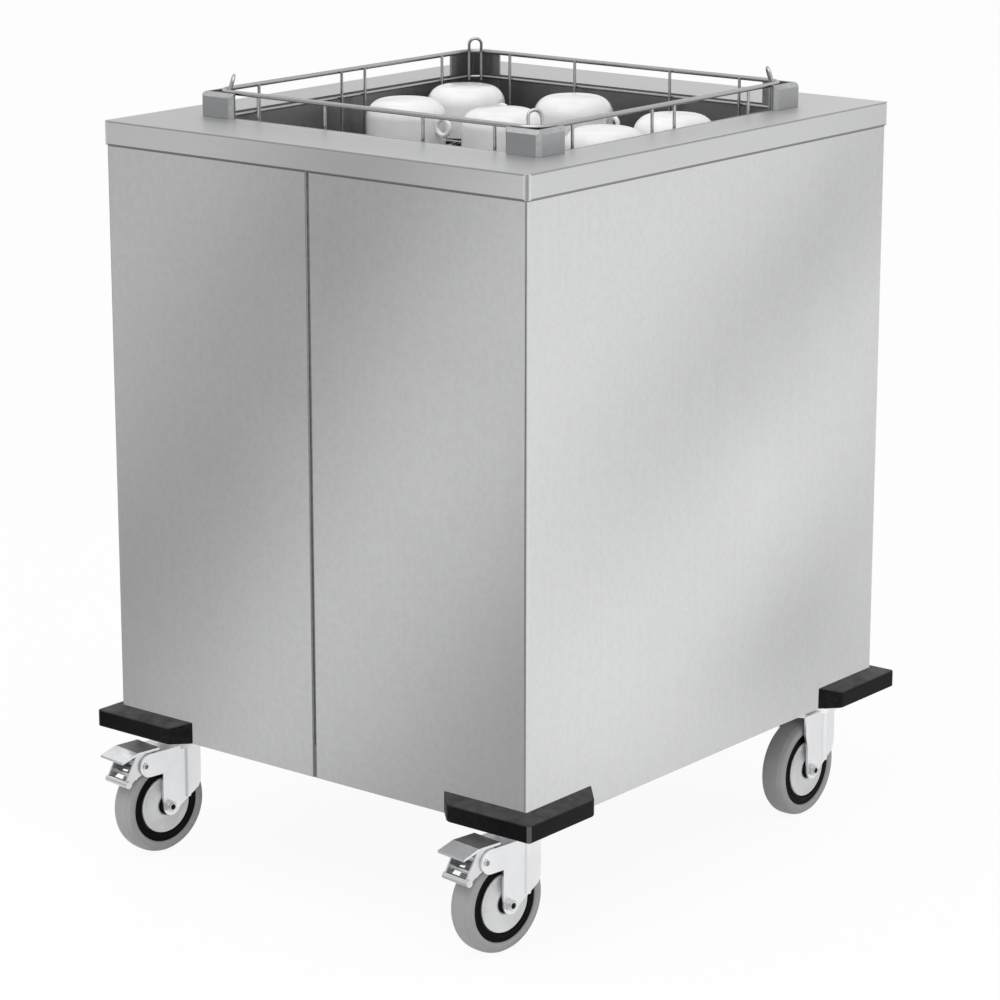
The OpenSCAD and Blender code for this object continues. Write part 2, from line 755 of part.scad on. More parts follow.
// Tyre: a grey rubber ring with rounded shoulders
module tyre(c) color("darkgray") at_axle(c) rotate_extrude($fn = 96) {
    half = wheel_w / 2;
    shoulder = 6;
    translate([tyre_in_r, -half]) square([wheel_r - tyre_in_r - shoulder, wheel_w]);
    translate([tyre_in_r, -half + shoulder])
        square([wheel_r - tyre_in_r, wheel_w - 2 * shoulder]);
    for (z = [-1, 1]) translate([wheel_r - shoulder, z * (half - shoulder)]) circle(r = shoulder);
}
module tyre_fl() tyre(FL);
module tyre_fr() tyre(FR);
module tyre_rl() tyre(RL);
module tyre_rr() tyre(RR);

// Covers: a pale dished disc on each side of the rim
module cover(c) color("lightgray") at_axle(c) rotate_extrude($fn = 96) {
    hub = axle_r + run_gap + 7;
    for (z = [0, 1]) mirror([0, z]) polygon([
        [hub, 5], [cover_r + 1, 5], [cover_r + 1, 13], [cover_r - 2, 14], [hub + 10, 12.5],
        [hub + 3, 16], [hub, 16]
    ]);
}
module cover_fl() cover(FL);
module cover_fr() cover(FR);
module cover_rl() cover(RL);
module cover_rr() cover(RR);

// Brake pedal: a tread, a rolled lip, two cheeks, a brake bar and the pin they turn on
module cross_bar(y, z, r, half) {
    translate([0, y, z]) rotate([0, 90, 0]) cylinder(r = r, h = 2 * half, center = true);
}
module pedal(c) color("lightgray") at_caster(c) translate([0, -trail, wheel_r]) {
    cross_bar(pin_y, pin_z, pedal_pin_r, fork_in + fork_t + 1.5);
    rotate([90, 0, 90]) {
        linear_extrude(2 * tread_half, center = true) polygon([
            [-14, tread_z], [-tread_bend, tread_z], [-pedal_reach, tread_z - 7],
            [-pedal_reach, tread_z - 4], [-tread_bend, tread_z + 3], [-14, tread_z + 3]
        ]);
        for (x = [-1, 1]) translate([0, 0, x * (cheek_in + cheek_out) / 2])
            linear_extrude(cheek_out - cheek_in, center = true) {
                translate([pin_y, pin_z]) circle(r = 9);
                polygon([
                    [-20, tread_z + 1], [-46, tread_z + 1], [-lip_y - 3, lip_z + 3],
                    [-lip_y + 1, lip_z - 3], [pin_y - 13, pin_z - 14.5], [pin_y + 4, pin_z - 8]
                ]);
            }
    }
    cross_bar(-lip_y, lip_z, lip_r, tread_half - 1);
    cross_bar(pin_y - 13, pin_z - 12.4, 3, cheek_out);
}
module pedal_fl() pedal(FL);
module pedal_fr() pedal(FR);

// Basket: wires are drawn as bars between bends that are parts of rings
module wire_ring(c, r, d, z) translate([0, 0, z]) {
    run = 2 * (c - r);
    for (a = [0:90:270]) rotate([0, 0, a]) {
        translate([c, 0, 0]) rotate([90, 0, 0]) cylinder(d = d, h = run, center = true);
        translate([c - r, c - r, 0]) rotate_extrude(angle = 90) translate([r, 0]) circle(d = d);
    }
}
module upright(x, y, low, high) {
    translate([x, y, low]) cylinder(d = wire, h = high - low);
}
// Corner loop: two legs that stand inside the rings, bent over and joined at the top.
// The loop above the bend is a hair thinner, so its ends sit inside the bend's ends.
module corner_loop() {
    leg_out = sqrt(pow(basket_r - rim_wire / 2 - wire / 2 + touch, 2) - pow(loop_half, 2));
    leg_low = mid_z - wire;
    bend_z = rim_z - 1;
    tip = wire - 0.1;
    translate([rim_c - basket_r, rim_c - basket_r, 0]) rotate([0, 0, 45]) translate([leg_out, 0, 0]) {
        for (s = [-1, 1]) translate([0, s * loop_half, leg_low])
            cylinder(d = wire, h = bend_z - leg_low);
        translate([-loop_bend, 0, bend_z]) {
            for (s = [-1, 1]) translate([0, s * loop_half, 0]) rotate([90, 0, 0])
                rotate_extrude(angle = loop_lean) translate([loop_bend, 0]) circle(d = wire);
            rotate([0, -loop_lean, 0]) translate([loop_bend, 0, 0]) {
                for (s = [-1, 1]) translate([0, s * loop_half, -0.3])
                    cylinder(d = tip, h = loop_rise + 0.3);
                translate([0, 0, loop_rise]) rotate([90, 0, 90])
                    rotate_extrude(angle = 180) translate([loop_half, 0]) circle(d = tip);
            }
        }
    }
}
module basket_rings() color("gray") cart() {
    wire_ring(rim_c, basket_r, rim_wire, rim_z);
    wire_ring(ring_c, basket_r + ring_c - rim_c, wire, mid_z);
}
// Uprights stand at these shares of the straight run of a side
module basket_uprights() color("gray") cart() {
    low = ring_low_z + wire / 2 - touch;
    for (s = [-1, 1], t = [-1, 1]) {
        for (share = [0.34, 0.82]) upright(t * share * side_run, s * post_c, low, rim_z);
        for (share = [0.1, 0.79]) upright(s * post_c, t * share * side_run, low, rim_z);
    }
}
module basket_loops() color("gray") cart()
    for (a = [0:90:270]) rotate([0, 0, a]) corner_loop();

// Basket floor: a ring with wires welded into it, and the wires that cross over them
function floor_at(i) = (post_c - basket_r) * (2 * i / (floor_wires - 1) - 1);
module basket_floor() color("gray") cart() {
    wire_ring(post_c, basket_r, wire, ring_low_z);
    for (i = [0:floor_wires - 1]) translate([floor_at(i), 0, ring_low_z]) rotate([90, 0, 0])
        cylinder(d = wire, h = 2 * post_c, center = true);
}
module basket_cross() color("gray") cart()
    for (i = [0:floor_wires - 1]) translate([0, floor_at(i), floor_up_z]) rotate([0, 90, 0])
        cylinder(d = wire, h = 2 * post_c, center = true);

// Cups: inverted, with a rounded shoulder and a ring handle
module cup_outline(r, h, shoulder) {
    square([r - shoulder, h]);
    square([r, h - shoulder]);
    translate([r - shoulder, h - shoulder]) circle(r = shoulder);
}
module cup() {
    rotate_extrude($fn = 96) difference() {
        intersection() {
            cup_outline(cup_r, cup_h, cup_shoulder);
            square([cup_r + 1, cup_h + 1]);
        }
        translate([0, -1])
            intersection() {
                cup_outline(cup_r - cup_t, cup_h + 1 - cup_t, cup_shoulder - cup_t);
                square([cup_r + 1, cup_h + 1]);
            }
    }
    translate([cup_r + cup_ring_r, 0, cup_h / 2]) rotate([90, 0, 0])
        rotate_extrude() translate([cup_ring_r, 0]) circle(r = cup_ring_t);
}
module cup_at(c) color("white") cart() translate([c[0], c[1], cup_z]) rotate([0, 0, c[2]]) cup();
module cup_a() cup_at(cups_at[0]);
module cup_b() cup_at(cups_at[1]);
module cup_c() cup_at(cups_at[2]);
module cup_d() cup_at(cups_at[3]);
module cup_e() cup_at(cups_at[4]);
module cup_f() cup_at(cups_at[5]);

base_frame();
floor_pan();
shell_left();
shell_right();
top_deck();
posts();
guides();
beams();
rails();
bumper_fl();
bumper_fr();
bumper_rl();
bumper_rr();
caster_plates();
fasteners();
platform_tray();
carriage_front();
carriage_rear();
rollers_front_upper();
rollers_front_lower();
rollers_rear_upper();
rollers_rear_lower();
spring_fl();
spring_fr();
spring_rl();
spring_rr();
fork_fl();
fork_fr();
fork_rl();
fork_rr();
axle_fl();
axle_fr();
axle_rl();
axle_rr();
rim_fl();
rim_fr();
rim_rl();
rim_rr();
tyre_fl();
tyre_fr();
tyre_rl();
tyre_rr();
cover_fl();
cover_fr();
cover_rl();
cover_rr();
pedal_fl();
pedal_fr();
basket_rings();
basket_uprights();
basket_loops();
basket_floor();
basket_cross();
cup_a();
cup_b();
cup_c();
cup_d();
cup_e();
cup_f();
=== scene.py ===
import json
import math

import bmesh
import bpy
from mathutils import Matrix, Vector


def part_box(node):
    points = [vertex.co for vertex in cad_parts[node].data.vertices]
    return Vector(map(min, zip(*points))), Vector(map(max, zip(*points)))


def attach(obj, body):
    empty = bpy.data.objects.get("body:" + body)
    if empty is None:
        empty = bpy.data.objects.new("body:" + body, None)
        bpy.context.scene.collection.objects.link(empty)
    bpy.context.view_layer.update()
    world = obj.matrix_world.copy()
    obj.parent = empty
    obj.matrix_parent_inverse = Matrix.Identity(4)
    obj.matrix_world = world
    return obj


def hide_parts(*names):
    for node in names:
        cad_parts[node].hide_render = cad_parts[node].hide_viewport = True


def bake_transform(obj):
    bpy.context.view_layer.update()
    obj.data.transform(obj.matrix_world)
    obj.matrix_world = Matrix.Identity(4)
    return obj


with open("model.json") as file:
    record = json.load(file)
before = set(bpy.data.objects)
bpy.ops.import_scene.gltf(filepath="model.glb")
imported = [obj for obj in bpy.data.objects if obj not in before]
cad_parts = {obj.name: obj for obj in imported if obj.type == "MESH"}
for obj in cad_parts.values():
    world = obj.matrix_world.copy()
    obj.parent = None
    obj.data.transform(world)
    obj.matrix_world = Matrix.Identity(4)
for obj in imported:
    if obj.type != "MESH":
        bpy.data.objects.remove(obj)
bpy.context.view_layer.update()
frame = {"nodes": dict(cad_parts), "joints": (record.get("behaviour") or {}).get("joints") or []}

# The view and the room. A standing person looks down at the cart's near corner from four
# metres away, through a long lens. The floor and everything round it are white, the light
# comes from one big soft panel, and graded cards stand where the steel's faces mirror them.
AZIMUTH = math.radians(38.725)
TILT = math.radians(14.567)
LENS = 125.95
ASIDE, BELOW, AWAY = -0.003557, -0.475511, 4.273988
SENSOR, FAR_CLIP = 36, 100
FLOOR_REACH, FLOOR_WHITE, FLOOR_SHARE = 40.0, 0.96, 0.93
SOFT_LIGHT = 0.72
PANEL_SIDE, PANEL_WATTS = 3.0, 44
PANEL_AT, PANEL_AIM = Vector((0.4, -1.2, 3.4)), Vector((0, 0, 0.6))

deck_low, deck_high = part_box("top_deck")
middle = (deck_low + deck_high) / 2
back = Vector((
    math.sin(AZIMUTH) * math.cos(TILT),
    -math.cos(AZIMUTH) * math.cos(TILT),
    math.sin(TILT),
))
right = Vector((math.cos(AZIMUTH), math.sin(AZIMUTH), 0))
up = back.cross(right)
camera = bpy.data.objects.new("camera", bpy.data.cameras.new("camera"))
camera.data.lens = LENS
camera.data.sensor_width = SENSOR
camera.data.clip_end = FAR_CLIP
turned = Matrix((right, up, back)).transposed().to_4x4()
eye = Vector((middle.x, middle.y, deck_high.z)) + right * ASIDE + up * BELOW + back * AWAY
camera.matrix_world = Matrix.Translation(eye) @ turned
bpy.context.scene.collection.objects.link(camera)
bpy.context.scene.camera = camera
bpy.context.scene.view_settings.view_transform = "Standard"


def new_material(name):
    material = bpy.data.materials.new(name)
    material.use_nodes = True
    tree = material.node_tree
    tree.nodes.clear()
    surface = tree.nodes.new("ShaderNodeBsdfPrincipled")
    end = tree.nodes.new("ShaderNodeOutputMaterial")
    tree.links.new(surface.outputs[0], end.inputs[0])
    return material, tree, surface


def reckoned(tree, operation, *values, clamp=False):
    """One step of arithmetic on numbers and other nodes' outputs."""
    node = tree.nodes.new("ShaderNodeMath")
    node.operation = operation
    node.use_clamp = clamp
    for socket, value in zip(node.inputs, values):
        if isinstance(value, float):
            socket.default_value = value
        else:
            tree.links.new(value, socket)
    return node.outputs[0]


def spread(tree, value, low, high, to_low, to_high):
    """Maps a value's range onto another and keeps it inside."""
    node = tree.nodes.new("ShaderNodeMapRange")
    for socket, number in zip(("From Min", "From Max", "To Min", "To Max"), (low, high, to_low, to_high)):
        node.inputs[socket].default_value = number
    tree.links.new(value, node.inputs["Value"])
    return node.outputs["Result"]


def seen_ray(tree):
    """1 where a camera, mirror or glass ray arrives, so that it finds plain white."""
    ray = tree.nodes.new("ShaderNodeLightPath").outputs
    seen = reckoned(tree, "MAXIMUM", ray["Is Camera Ray"], ray["Is Glossy Ray"])
    return reckoned(tree, "MAXIMUM", seen, ray["Is Transmission Ray"])


def placed(name, mesh):
    thing = bpy.data.objects.new(name, mesh)
    bpy.context.scene.collection.objects.link(thing)
    return thing


floor_mesh = bpy.data.meshes.new("floor")
floor_mesh.from_pydata(
    [(x * FLOOR_REACH, y * FLOOR_REACH, 0) for x, y in ((-1, -1), (1, -1), (1, 1), (-1, 1))],
    [], [(0, 1, 2, 3)])
floor = placed("floor", floor_mesh)
floor_paint, tree, surface = new_material("white floor")
surface.inputs["Base Color"].default_value = (FLOOR_WHITE, FLOOR_WHITE, FLOOR_WHITE, 1)
surface.inputs["Roughness"].default_value = 0.9
glow = tree.nodes.new("ShaderNodeEmission")
glow.inputs[0].default_value = (1, 1, 1, 1)
blended = tree.nodes.new("ShaderNodeMixShader")
tree.links.new(reckoned(tree, "MULTIPLY", seen_ray(tree), FLOOR_SHARE), blended.inputs[0])
tree.links.new(surface.outputs[0], blended.inputs[1])
tree.links.new(glow.outputs[0], blended.inputs[2])
tree.links.new(blended.outputs[0], tree.nodes["Material Output"].inputs[0])
floor_mesh.materials.append(floor_paint)

world = bpy.data.worlds.new("studio")
bpy.context.scene.world = world
world.use_nodes = True
tree = world.node_tree
tree.nodes.clear()
seen_light = tree.nodes.new("ShaderNodeBackground")
seen_light.inputs[0].default_value = (1, 1, 1, 1)
soft_light = tree.nodes.new("ShaderNodeBackground")
soft_light.inputs[0].default_value = (SOFT_LIGHT, SOFT_LIGHT, SOFT_LIGHT, 1)
mixed = tree.nodes.new("ShaderNodeMixShader")
world_end = tree.nodes.new("ShaderNodeOutputWorld")
tree.links.new(seen_ray(tree), mixed.inputs[0])
tree.links.new(soft_light.outputs[0], mixed.inputs[1])
tree.links.new(seen_light.outputs[0], mixed.inputs[2])
tree.links.new(mixed.outputs[0], world_end.inputs[0])

panel = bpy.data.lights.new("panel over the cart", "AREA")
panel.shape = "SQUARE"
panel.size = PANEL_SIDE
panel.energy = PANEL_WATTS
lamp = placed("panel over the cart", panel)
lamp.matrix_world = Matrix.Translation(PANEL_AT) @ (
    PANEL_AIM - PANEL_AT).to_track_quat("-Z", "Y").to_matrix().to_4x4()
lamp.visible_camera = False


def graded_card(name, corners, along, start, bands, least=None):
    """A card that only mirroring steel sees, bright and dim in soft slanting bands.

    A band is (place, brightness), and a point's place is its dot product with along, plus
    start. least is (y0, brightness, y1, brightness): no band is dimmer than the brightness
    that runs from the first at y0 to the second at y1.
    """
    mesh = bpy.data.meshes.new(name)
    mesh.from_pydata([Vector(c) for c in corners], [], [tuple(range(len(corners)))])
    card = placed(name, mesh)
    paint, tree, skin = new_material(name)
    tree.nodes.remove(skin)
    spot = tree.nodes.new("ShaderNodeTexCoord")
    ahead = tree.nodes.new("ShaderNodeVectorMath")
    ahead.operation = "DOT_PRODUCT"
    ahead.inputs[1].default_value = along
    tree.links.new(spot.outputs["Object"], ahead.inputs[0])
    first, last = bands[0][0], bands[-1][0]
    strongest = max(brightness for _, brightness in bands)
    ramp = tree.nodes.new("ShaderNodeValToRGB")
    ramp.color_ramp.interpolation = "EASE"
    stops = ramp.color_ramp.elements
    for i, (place, brightness) in enumerate(bands):
        at = (place - first) / (last - first)
        stop = stops[0] if i == 0 else stops[-1] if i == len(bands) - 1 else stops.new(at)
        stop.position = at
        stop.color = (*[brightness / strongest] * 3, 1)
    part = spread(tree, ahead.outputs["Value"], first - start, last - start, 0, 1)
    tree.links.new(part, ramp.inputs["Fac"])
    shade = ramp.outputs["Color"]
    if least:
        y0, bright0, y1, bright1 = least
        parts = tree.nodes.new("ShaderNodeSeparateXYZ")
        tree.links.new(spot.outputs["Object"], parts.inputs[0])
        bound = spread(tree, parts.outputs["Y"], y0, y1, bright0 / strongest, bright1 / strongest)
        shade = reckoned(tree, "MAXIMUM", bound, shade)
    glow = tree.nodes.new("ShaderNodeEmission")
    glow.inputs["Strength"].default_value = strongest
    tree.links.new(shade, glow.inputs["Color"])
    tree.links.new(glow.outputs[0], tree.nodes["Material Output"].inputs[0])
    mesh.materials.append(paint)
    card.visible_camera = False
    card.visible_diffuse = False
    card.visible_transmission = False
    card.visible_shadow = False


def upright_card(start, end, low, high):
    return [(*start, low), (*end, low), (*end, high), (*start, high)]


CARD_FOOT, CARD_TOP = 0.004, 1.3
BEFORE_LEFT, BEFORE_RIGHT = -0.80, 0.71
graded_card(
    "card before the left face",
    upright_card((-1.35, BEFORE_LEFT), (0.60, BEFORE_LEFT), CARD_FOOT, CARD_TOP),
    (1.431, 0, -0.979), 1.823,
    [(-0.4, 0.6), (0.2, 0.8), (0.58, 0.40), (1.16, 1.0), (1.75, 0.42), (2.4, 0.8)])
graded_card(
    "card on the floor",
    [(-1.35, BEFORE_LEFT, 0.002), (0.30, BEFORE_LEFT, 0.002), (0.30, -0.37, 0.002), (-0.9, -0.37, 0.002)],
    (1, 0, 0), 0, [(-1.35, 0.4), (-0.75, 0.45), (-0.4, 0.85), (-0.1, 0.55), (0.3, 0.5)])
graded_card(
    "card before the right face",
    upright_card((BEFORE_RIGHT, -0.55), (BEFORE_RIGHT, 1.4), CARD_FOOT, CARD_TOP),
    (0, 1.185, -1.918), 1.278,
    [(-0.3, 0.7), (0.45, 1.32), (1.02, 0.47), (1.42, 1.57), (2.08, 0.46), (2.6, 1.9)],
    least=(0.15, 1.12, 0.8, 0.45))
graded_card(
    "card behind the deck", upright_card((-2.6, 1.5), (0.6, 1.5), 0.95, 2.2),
    (1, 0, 0), 0, [(-2.6, 0.6), (-1.0, 0.8), (0.6, 1.15)])

# The side walls. Two steel sheets, 1.5 mm thick and brushed upright, are each bent round
# one side and meet at a joint line in the middle of the front and of the back. Their long
# edges are folded inwards there, and the deck's folded edge laps over their tops.
UPRIGHT_BRUSHING = (900.0, 900.0, 4.0)
NO_BRUSHING = (300.0, 300.0, 300.0)
FOLD = 0.0022


def shader_group(name, inputs, outputs):
    group = bpy.data.node_groups.new(name, "ShaderNodeTree")
    for socket, kind, value in inputs:
        made = group.interface.new_socket(socket, in_out="INPUT", socket_type=kind)
        made.default_value = value
    for socket, kind in outputs:
        group.interface.new_socket(socket, in_out="OUTPUT", socket_type=kind)
    return group, group.nodes.new("NodeGroupInput"), group.nodes.new("NodeGroupOutput")


def noise(tree, vector, scale, detail):
    node = tree.nodes.new("ShaderNodeTexNoise")
    node.inputs["Detail"].default_value = detail
    node.inputs["Scale"].default_value = scale
    tree.links.new(vector, node.inputs["Vector"])
    return node.outputs[0]


# The brushing's fine lines, the slow clouds that handling leaves, and the rubbed edges
brushing, into, out = shader_group(
    "brushing",
    [("Stretch", "NodeSocketVector", (200, 200, 5))],
    [("Line", "NodeSocketFloat"), ("Cloud", "NodeSocketFloat")])
spot = brushing.nodes.new("ShaderNodeTexCoord")
scaled = brushing.nodes.new("ShaderNodeVectorMath")
scaled.operation = "MULTIPLY"
brushing.links.new(spot.outputs["Object"], scaled.inputs[0])
brushing.links.new(into.outputs["Stretch"], scaled.inputs[1])
brushing.links.new(noise(brushing, scaled.outputs[0], 1.0, 4.0), out.inputs["Line"])
brushing.links.new(noise(brushing, spot.outputs["Object"], 3.0, 2.0), out.inputs["Cloud"])

rubbing, into, out = shader_group(
    "rubbed edges",
    [("Reach", "NodeSocketFloat", 0.06), ("Grain", "NodeSocketFloat", 160.0)],
    [("Mask", "NodeSocketFloat")])
shape = rubbing.nodes.new("ShaderNodeNewGeometry")
spot = rubbing.nodes.new("ShaderNodeTexCoord")
grain = rubbing.nodes.new("ShaderNodeTexNoise")
grain.inputs["Detail"].default_value = 3.0
rubbing.links.new(spot.outputs["Object"], grain.inputs["Vector"])
rubbing.links.new(into.outputs["Grain"], grain.inputs["Scale"])
raised_above = reckoned(rubbing, "SUBTRACT", shape.outputs["Pointiness"], 0.53)
worn_part = reckoned(rubbing, "DIVIDE", raised_above, into.outputs["Reach"], clamp=True)
broken_up = spread(rubbing, grain.outputs[0], 0.35, 0.6, 0.2, 1.0)
rubbing.links.new(reckoned(rubbing, "MULTIPLY", worn_part, broken_up), out.inputs["Mask"])


def use(tree, group, **values):
    node = tree.nodes.new("ShaderNodeGroup")
    node.node_tree = group
    for socket, value in values.items():
        node.inputs[socket].default_value = value
    return node


def colour_socket(sockets, name):
    return next(s for s in sockets if s.name == name and s.type == "RGBA")


def tinted(tree, factor, dark, light):
    """Mixes two colours, each a tuple or another node's output."""
    node = tree.nodes.new("ShaderNodeMix")
    node.data_type = "RGBA"
    tree.links.new(factor, node.inputs["Factor"])
    for socket, colour in (("A", dark), ("B", light)):
        if isinstance(colour, tuple):
            colour_socket(node.inputs, socket).default_value = (*colour, 1)
        else:
            tree.links.new(colour, colour_socket(node.inputs, socket))
    return colour_socket(node.outputs, "Result")


def raised(tree, surface, height, strength, distance):
    bump = tree.nodes.new("ShaderNodeBump")
    bump.inputs["Strength"].default_value = strength
    bump.inputs["Distance"].default_value = distance
    tree.links.new(height, bump.inputs["Height"])
    tree.links.new(bump.outputs[0], surface.inputs["Normal"])


def brushed_steel(name, colour, stretch, rough=(0.30, 0.37), depth=0.05):
    material, tree, surface = new_material(name)
    surface.inputs["Metallic"].default_value = 1.0
    lines = use(tree, brushing, Stretch=stretch)
    edges = use(tree, rubbing)
    dark = tuple(c * 0.97 for c in colour)
    light = tuple(min(1, c * 1.03) for c in colour)
    plain = tinted(tree, spread(tree, lines.outputs["Line"], 0.3, 0.7, 0, 1), dark, light)
    clouded = tinted(tree, spread(tree, lines.outputs["Cloud"], 0.35, 0.7, 0, 0.3), plain, light)
    worn = tinted(tree, edges.outputs["Mask"], clouded, tuple(min(1, c * 1.25) for c in colour))
    tree.links.new(worn, surface.inputs["Base Color"])
    tree.links.new(spread(tree, lines.outputs["Cloud"], 0.3, 0.7, *rough), surface.inputs["Roughness"])
    raised(tree, surface, lines.outputs["Line"], depth, 0.0002)
    return material


def softened(name, node, width, steps=2, angle=28, folded=None, fold=0.0):
    """The CAD solid with its edges broken, as bent sheet and moulded rubber have them.

    Edges whose ends folded() picks are rounded first, by fold.
    """
    shape = bmesh.new()
    shape.from_mesh(frame["nodes"][node].data)
    bmesh.ops.remove_doubles(shape, verts=shape.verts, dist=2e-6)
    bmesh.ops.dissolve_limit(
        shape, angle_limit=math.radians(0.4), verts=shape.verts, edges=shape.edges)
    if folded:
        bends = [edge for edge in shape.edges
                 if edge.calc_face_angle(0) > math.radians(angle)
                 and folded(*(vert.co for vert in edge.verts))]
        bmesh.ops.bevel(shape, geom=bends, offset=fold, segments=5, profile=0.5, affect="EDGES")
    mesh = bpy.data.meshes.new(name)
    shape.to_mesh(mesh)
    shape.free()
    piece = placed(name, mesh)
    edge = piece.modifiers.new("broken edges", "BEVEL")
    edge.width = width
    edge.segments = steps
    edge.limit_method = "ANGLE"
    edge.angle_limit = math.radians(angle)
    edge.use_clamp_overlap = True
    flat = piece.modifiers.new("flat faces", "WEIGHTED_NORMAL")
    flat.weight = 80
    for face in mesh.polygons:
        face.use_smooth = True
    return piece


def fitted(piece, material, body, slot, *nodes):
    piece.data.materials.clear()
    piece.data.materials.append(material)
    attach(piece, body)
    if nodes:
        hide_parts(*nodes)


def refinished(piece, paint, picked):
    """Gives the faces that picked() chooses another finish."""
    piece.data.materials.append(paint)
    last = len(piece.data.materials) - 1
    for face in piece.data.polygons:
        if picked(face):
            face.material_index = last


wall_low, wall_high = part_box("shell_right")


def on_joint_line(*points):
    """The outer corner of a fold, which runs down the middle of the front and the back."""
    at_face = all(min(abs(p.y - wall_low.y), abs(p.y - wall_high.y)) < 1e-5 for p in points)
    return at_face and all(abs(abs(p.x) - wall_low.x) < 1e-5 for p in points)


def on_joint_fold(face):
    """The rounding that a fold shows beside the joint line."""
    return abs(face.center.x) < 2 * FOLD and 0.02 < abs(face.normal.y) < 0.995


def on_upright_bend(face):
    """The half of an upright rounding that lies next to the front or the back."""
    return abs(face.normal.z) < 0.1 and 0.12 < abs(face.normal.x) < 0.62


def in_joint(face):
    """The flange that is turned in, down in the joint."""
    return abs(face.center.x) < wall_low.x + 0.0002 and abs(face.normal.x) > 0.98


shell_steel = brushed_steel("brushed wall sheet", (0.56, 0.563, 0.567), UPRIGHT_BRUSHING)
# A darker copy of the sheet, as painted shade on bends.
bend_shade_steel = brushed_steel("bend darkened for painted shade", (0.30, 0.302, 0.306), NO_BRUSHING)
# A dark copy of the sheet, as painted shade in the joint.
joint_fold_shade_steel = brushed_steel("fold at the joint darkened for painted shade", (0.19, 0.191, 0.194), NO_BRUSHING)
flange_steel = brushed_steel("unpolished flange", (0.55, 0.553, 0.557), NO_BRUSHING, rough=(0.85, 0.95))
for side in ("left", "right"):
    wall = softened(f"wall_{side}", f"shell_{side}", 0.0005, folded=on_joint_line, fold=FOLD)
    fitted(wall, shell_steel, "cabinet", "steel_shell", f"shell_{side}")
    # Painted shade on the folds' rounding beside the joint line.
    refinished(wall, joint_fold_shade_steel, on_joint_fold)
    # Painted shade on the half of each upright corner's rounding next to the front and the back.
    refinished(wall, bend_shade_steel, on_upright_bend)
    refinished(wall, flange_steel, in_joint)

# The deck. One 2 mm sheet folded down all round, brushed from side to side, with welded
# and ground corners. The collar round the well and the hem's rounding take a dark sheet as painted shade.
SIDEWAYS_BRUSHING = (9.0, 900.0, 900.0)
# The last of these is how far the painted shadow below the hem reaches.
BEND_OUT, DECK_CORNER, HEM_SHADOW_REACH = 0.0017, 0.0055, 0.0016
deck_steel = brushed_steel("brushed deck sheet", (0.56, 0.563, 0.567), SIDEWAYS_BRUSHING, rough=(0.38, 0.44))
# A lighter copy of the deck sheet, as painted light on the front and back faces of its fold.
lit_fascia_steel = brushed_steel("brushed folded edge lightened for painted light", (0.62, 0.623, 0.627), SIDEWAYS_BRUSHING)
# A dark copy of the steel as painted shade, for the faces down the well and for the hem's rounding.
painted_shade_sheet = brushed_steel("sheet darkened for painted shade", (0.24, 0.241, 0.244), (60.0, 60.0, 200.0), rough=(0.36, 0.46))


def on_skirt(*points):
    """On the outline of the deck's folded edge, which is rounded at its four corners."""
    beyond = [Vector((max(abs(p.x - middle.x) - (deck_high.x - middle.x) + DECK_CORNER, 0),
                      max(abs(p.y - middle.y) - (deck_high.y - middle.y) + DECK_CORNER, 0))) for p in points]
    return all(abs(reach.length - DECK_CORNER) < 1e-4 for reach in beyond)


deck = softened("deck", "top_deck", 0.0008, folded=on_skirt, fold=BEND_OUT)
fitted(deck, deck_steel, "cabinet", "steel_deck", "top_deck")
hem = min(spot.co.z for spot in deck.data.vertices if on_skirt(spot.co)) - BEND_OUT


def painted_hem_shadow(material, height, reach):
    """Darkens a sheet in a band just below a height: a painted shadow under a hem."""
    tree = material.node_tree
    into = tree.nodes["Principled BSDF"].inputs["Base Color"]
    spot = tree.nodes.new("ShaderNodeTexCoord")
    parts = tree.nodes.new("ShaderNodeSeparateXYZ")
    tree.links.new(spot.outputs["Object"], parts.inputs[0])
    hem_shadow_mask = spread(tree, parts.outputs["Z"], height - reach, height - reach / 2, 0, 1)
    tree.links.new(tinted(tree, hem_shadow_mask, into.links[0].from_socket, (0.20, 0.201, 0.204)), into)


# A painted shadow on the walls, just below the deck's hem.
painted_hem_shadow(shell_steel, hem, HEM_SHADOW_REACH)
well_low, well_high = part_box("guides")


def in_well(spot):
    """More than 4 mm inside the guides' outline, where the collar and the well's edge are."""
    inside = well_low.x + 0.004 < spot.x < well_high.x - 0.004
    return inside and well_low.y + 0.004 < spot.y < well_high.y - 0.004


def bent(face):
    """On the rounding of the bend or the hem, or on the middle of a rounded corner."""
    way = face.normal
    if abs(way.z) < 0.05:
        return abs(abs(way.x) - abs(way.y)) < 0.35 and not in_well(face.center)
    return not in_well(face.center) and max(abs(part) for part in way) < 0.995


# Painted light on the fold's front and back faces.
refinished(deck, lit_fascia_steel, lambda face: not in_well(face.center) and abs(face.normal.y) > 0.95)
# Painted shade on the collar down in the well.
refinished(deck, painted_shade_sheet, lambda face: in_well(face.center) and face.center.z < deck_high.z - 0.0005)
# Painted shade on the roundings of the deck's bends.
refinished(deck, bend_shade_steel, lambda face: bent(face) and face.center.z > hem + 2 * BEND_OUT)
# Painted shadow on the hem's rounding, under the fascia.
refinished(deck, painted_shade_sheet, lambda face: bent(face) and face.center.z < hem + 2 * BEND_OUT)

# The corner guides. Four bevelled steel angles screwed down at the well's corners; they
# steer each basket in and carry on down the well as a leaf.
guide_steel = brushed_steel("satin guide", (0.36, 0.363, 0.368), NO_BRUSHING, rough=(0.3, 0.42))
guides = softened("corner_guides", "guides", 0.0009, steps=3)
fitted(guides, guide_steel, "cabinet", "steel_guide", "guides")


